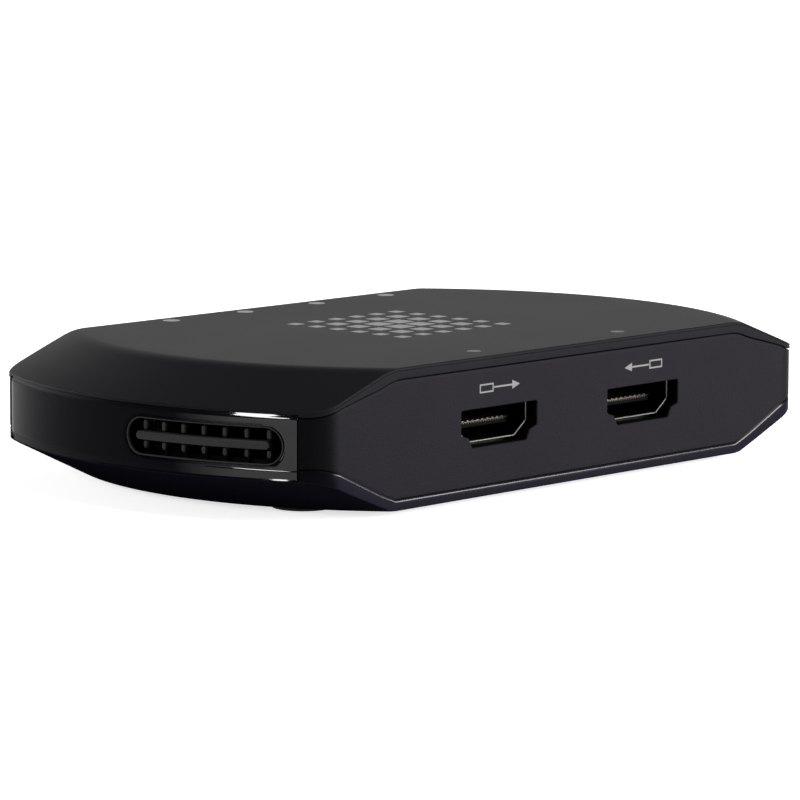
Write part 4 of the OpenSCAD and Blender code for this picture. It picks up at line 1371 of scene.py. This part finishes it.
# Vent grilles: dark grey mouldings behind the vents. Seven posts, each an upper and a lower peg on a thin
# web, stand behind one horizontal bar with round ends, in a frame that is fixed to the back of the band.
POST_COUNT = 7
POST_PITCH = 3.26 * MM
POST_WIDTH = 0.68 * MM
POST_DEPTH = 0.85 * MM
POST_ROUND = 0.28 * MM
UPPER_PEG = (0.7 * MM, 2.05 * MM)
LOWER_PEG = (-1.82 * MM, -0.72 * MM)
WEB_WIDTH = 0.3 * MM
WEB_DEPTH = 1 * MM
WEB_HEIGHT = VENT_HEIGHT + 1.35 * MM
POST_IN = 1.55 * MM
BAR_LENGTH = 21 * MM
BAR_HEIGHT = 1.15 * MM
BAR_IN = 0.6 * MM
BAR_SHIFT = 0.45 * MM
BAR_BACK = 1.95 * MM
BAR_ROUND = 0.15 * MM
FRAME_RIM = 0.9 * MM
FRAME_GAP = 0.4 * MM
FRAME_DEPTH = 1.2 * MM
BAR_EDGE = ((2.0, 0.0), (0.6, 0.25), (0.0, 1.0))
WEB_SHADE_LEVEL = 0.003
ARC_STEP = 0.5 * MM


def along_oval(length, height, grow=0.0):
    """Oval outline with its straight sides cut into short steps, to follow the bend of the side."""
    return oval_outline(length, height, grow, max(1, round((length - height) / ARC_STEP)))


def bent(side, outline, depth, shift=0.0):
    """Points of an outline about the vent's middle, bent round a side at a depth."""
    return [on_side(side, vent_place + shift + s, depth, band_middle + z) for s, z in outline]


def bent_bar(bm, side):
    """The cross bar: an oval strip bent round the side, with softened front edges."""
    flat = {}
    levels = [(shrink * BAR_ROUND, BAR_IN + depth * BAR_ROUND) for shrink, depth in BAR_EDGE]
    levels.append((0.0, BAR_BACK))
    loops = []
    for shrink, depth in levels:
        outline = along_oval(BAR_LENGTH - shrink, BAR_HEIGHT - shrink)
        loops.append(bent(side, outline, depth, BAR_SHIFT))
    rows = loft(bm, loops)
    outline = along_oval(BAR_LENGTH, BAR_HEIGHT)
    for row in (rows[0], rows[-1]):
        flat.update(zip(row, outline))
        fill(bm, row, [], lambda v: flat[v])


def bent_ring(bm, side):
    """The oval ring that lines the vent's opening, with a rounded front edge."""
    lean = [math.pi * k / (2 * ROUND_STEPS) for k in range(2 * ROUND_STEPS + 1)]
    half = (VENT_RING - FIT_GAP) / 2
    levels = [(half * (1 + math.cos(a)), VENT_RING_IN + half * (1 - math.sin(a))) for a in lean]
    levels = [(levels[0][0], VENT_RING_DEPTH), *levels, (0.0, VENT_RING_DEPTH)]
    loops = [bent(side, along_oval(VENT_LENGTH, VENT_HEIGHT, grow), depth) for grow, depth in levels]
    loft(bm, loops, wrap=True)


def bent_frame(bm, side):
    """The frame behind the band: a bent plate round the vent's opening."""
    flat = {}
    outer = along_oval(VENT_LENGTH + 2 * FRAME_RIM, VENT_HEIGHT + 2 * FRAME_RIM)
    hole = along_oval(VENT_LENGTH, VENT_HEIGHT, FRAME_GAP)
    front = BAND_THICKNESS + FIT_GAP
    rings = {}
    for name, outline in (("outer", outer), ("hole", hole)):
        rings[name] = loft(bm, [bent(side, outline, d) for d in (front, front + FRAME_DEPTH)])
        for row in rings[name]:
            flat.update(zip(row, outline))
    for level in (0, 1):
        fill(bm, rings["outer"][level], [rings["hole"][level]], lambda v: flat[v])


def arc_tree():
    """Node tree that repeats its own geometry along an arc about the upright axis, turned with the arc."""
    tree, given = repeat_tree("repeat_round_side", {
        "Count": "Int", "Radius": "Float", "Start": "Float", "Sweep": "Float", "Height": "Vector"})
    wire = Wire(tree)
    index = wire.add("GeometryNodeInputIndex")
    turn = given["Start"] + given["Sweep"] * index / (given["Count"] - 1)
    spot = wire.add("ShaderNodeCombineXYZ", None, {"X": given["Radius"] * turn.math("COSINE", turn),
                                                   "Y": given["Radius"] * turn.math("SINE", turn)})
    spot = wire.add("ShaderNodeVectorMath", {"operation": "ADD"}, {0: spot, 1: given["Height"]})
    line = wire.add("GeometryNodeMeshLine", {"mode": "OFFSET"}, {"Count": given["Count"]})
    line = wire.add("GeometryNodeSetPosition", None, {"Geometry": line, "Position": spot})
    lean = wire.add("ShaderNodeCombineXYZ", None, {"Z": turn})
    lean = wire.add("FunctionNodeEulerToRotation", None, {"Euler": lean})
    copies_on(line, given, {"Rotation": lean})
    return tree


post_radius = band_radius - POST_IN


def grille_plastic():
    """Dark grey moulding, with painted shade: near black on the webs and the frame that lie behind the posts.
    """
    material = moulded_plastic("grille_grey", level=0.038, rough=0.45, gloss=0.05, grain=0.25 * MM,
                               relief=0.003 * MM)
    shader = material.node_tree.nodes["Principled BSDF"]
    light = Wire(material.node_tree, shader.inputs["Base Color"].links[0].from_socket)
    place = light.add("ShaderNodeTexCoord", output="Object")
    level = place.add("ShaderNodeVectorMath", {"operation": "MULTIPLY"}, {0: place, 1: (1.0, 1.0, 0.0)})
    reach = place.add("ShaderNodeVectorMath", {"operation": "LENGTH"}, {0: level}, "Value")
    # Painted shade: the colour falls to near black behind the middle of the posts.
    shown = reach.ramp(post_radius - POST_DEPTH / 4, post_radius)
    shown.mix(grey(WEB_SHADE_LEVEL), light).into(shader, "Base Color")
    return material


grille_grey = grille_plastic()
side_tree = arc_tree()
peg_half = Vector((POST_DEPTH, POST_WIDTH, 0)) / 2
web_half = Vector((WEB_DEPTH, WEB_WIDTH, WEB_HEIGHT)) / 2
post_sweep = POST_PITCH * (POST_COUNT - 1) / band_radius
for side, name in ((-1, "left"), (1, "right")):
    bm = bmesh.new()
    bent_frame(bm, side)
    bent_ring(bm, side)
    bent_bar(bm, side)
    piece(f"{name}_grille_bar", bm, grille_grey, "grille_plastic", f"{name}_vent_grille")
    bm = bmesh.new()
    for peg_low, peg_high in (UPPER_PEG, LOWER_PEG):
        soft_box(bm, Vector((0, 0, peg_low)) - peg_half, Vector((0, 0, peg_high)) + peg_half, POST_ROUND)
    web_place = Vector(((POST_DEPTH + WEB_DEPTH) / 2 - BAR_ROUND, 0, 0))
    soft_box(bm, -web_half - web_place, web_half - web_place, WEB_WIDTH / 4)
    posts = piece(f"{name}_grille_posts", bm, grille_grey, "grille_plastic")
    middle_turn = vent_place / band_radius if side > 0 else math.pi - vent_place / band_radius
    repeat(posts, side_tree, {
        "Count": POST_COUNT, "Radius": post_radius, "Start": middle_turn - post_sweep / 2,
        "Sweep": post_sweep, "Height": (0, 0, band_middle), "Material": grille_grey,
    })
    dress(posts, "grille_plastic", f"{name}_vent_grille")

# Stage: a wide pale floor under the feet and a dim room with a white wall behind. A low soft key light stands
# at the front right, a narrow strip at the left and a weak light behind. A broad sun hangs over the front.
FLOOR_HALF = 30.0
FLOOR_GLOW = 0.7
FLOOR_BOUNCE = 0.45
WALL_LEVEL = 1.0
ROOM_LEVEL = 0.03
WALL_FADE = (0.18, 0.52)
WALL_TURN = math.radians(35)
WALL_SPREAD = (0.3, 0.75)
OVERHEAD_SPREAD = math.radians(40)
PAPER_PATCH = 0.4
PAPER_LEVELS = (0.93, 0.95)


def pale_floor():
    """Matt white paper that also glows a little to the eye and in reflections, so that it reads as white."""
    constants = {"Specular IOR Level": 0.0, "Roughness": 1.0, "Emission Strength": 1.0}
    material, shader, place = new_material("pale_floor", constants)
    seen = 0.0
    for ray in ("Is Camera Ray", "Is Glossy Ray", "Is Transmission Ray"):
        seen = place.add("ShaderNodeLightPath", output=ray) + seen
    paper = place.noise(PAPER_PATCH).mix(*[grey(level) for level in PAPER_LEVELS])
    seen.mix(grey(FLOOR_BOUNCE), paper).into(shader, "Base Color")
    seen.mix(grey(0.0), grey(FLOOR_GLOW)).into(shader, "Emission Color")
    return material


def lamp(name, kind, power, turn, rise, distance=0.0, roll=0.0):
    """A light that faces the case from a turn about the upright axis and a rise, both in degrees."""
    light = bpy.data.lights.new(name, kind)
    light.energy = power
    obj = bpy.data.objects.new(name, light)
    turn, rise = math.radians(turn), math.radians(rise)
    toward = Vector((math.cos(turn) * math.cos(rise), math.sin(turn) * math.cos(rise), math.sin(rise)))
    obj.location = toward * distance
    spin = Quaternion((0, 0, 1), math.radians(roll))
    obj.rotation_euler = (toward.to_track_quat("Z", "Y") @ spin).to_euler()
    bpy.context.scene.collection.objects.link(obj)
    return light


def soft_lamp(name, shape, size, **placing):
    """A flat soft light of a shape and size."""
    light = lamp(name, "AREA", **placing)
    light.shape = shape
    light.size, light.size_y = size


bm = bmesh.new()
corners = ((-FLOOR_HALF, -FLOOR_HALF, 0), (FLOOR_HALF, -FLOOR_HALF, 0), (FLOOR_HALF, FLOOR_HALF, 0),
           (-FLOOR_HALF, FLOOR_HALF, 0))
bm.faces.new([bm.verts.new(c) for c in corners])
piece("floor", bm, pale_floor(), "")

world = bpy.data.worlds.new("studio")
bpy.context.scene.world = world
world.use_nodes = True
way = Wire(world.node_tree).add("ShaderNodeTexCoord", output="Generated")
facing = way.add("ShaderNodeVectorMath", {"operation": "DOT_PRODUCT"},
                 {0: way, 1: (math.cos(WALL_TURN), math.sin(WALL_TURN), 0)}, "Value")
upward = way.axis("Z").ramp(*WALL_FADE, "SMOOTHSTEP")
lit = facing.ramp(*WALL_SPREAD, "SMOOTHSTEP") * (1 - upward)
lit.mix(grey(ROOM_LEVEL), grey(WALL_LEVEL)).into(world.node_tree.nodes["Background"], "Color")

lamp("overhead", "SUN", power=1.4, turn=-78, rise=55).angle = OVERHEAD_SPREAD
soft_lamp("key", "RECTANGLE", size=(0.42, 0.25), power=8.0, turn=-58, rise=11, distance=0.7)
soft_lamp("rear", "RECTANGLE", size=(0.6, 0.25), power=2.2, turn=102, rise=14, distance=0.7)
soft_lamp("strip", "ELLIPSE", size=(0.31, 0.126), power=2.5, turn=182.5, rise=21, distance=0.8, roll=-44)

# Camera: a long lens a little above the table, looking at the left front corner of the case. Its place, its
# lens and its shift were fitted to the outline of the box in the photograph.
CAMERA_TURN = math.radians(-46.91)
CAMERA_RISE = math.radians(7.72)
CAMERA_ROLL = math.radians(0.153)
CAMERA_DISTANCE = 620.7 * MM
CAMERA_LENS = 194.49
CAMERA_SENSOR = 36
CAMERA_SHIFT = (-0.01184, -0.02286)
CAMERA_TARGET = Vector((0, 0, 11.8 * MM))
camera = bpy.data.cameras.new("camera")
camera.lens = CAMERA_LENS
camera.sensor_width = CAMERA_SENSOR
camera.shift_x, camera.shift_y = CAMERA_SHIFT
camera_object = bpy.data.objects.new("camera", camera)
camera_rotation = Euler((math.pi / 2 - CAMERA_RISE, 0, CAMERA_TURN)).to_matrix()
camera_rotation = camera_rotation @ Euler((0, 0, CAMERA_ROLL)).to_matrix()
camera_object.rotation_euler = camera_rotation.to_euler()
camera_object.location = CAMERA_TARGET + camera_rotation @ Vector((0, 0, CAMERA_DISTANCE))
bpy.context.scene.collection.objects.link(camera_object)
bpy.context.scene.camera = camera_object
bpy.context.scene.view_settings.view_transform = "Standard"
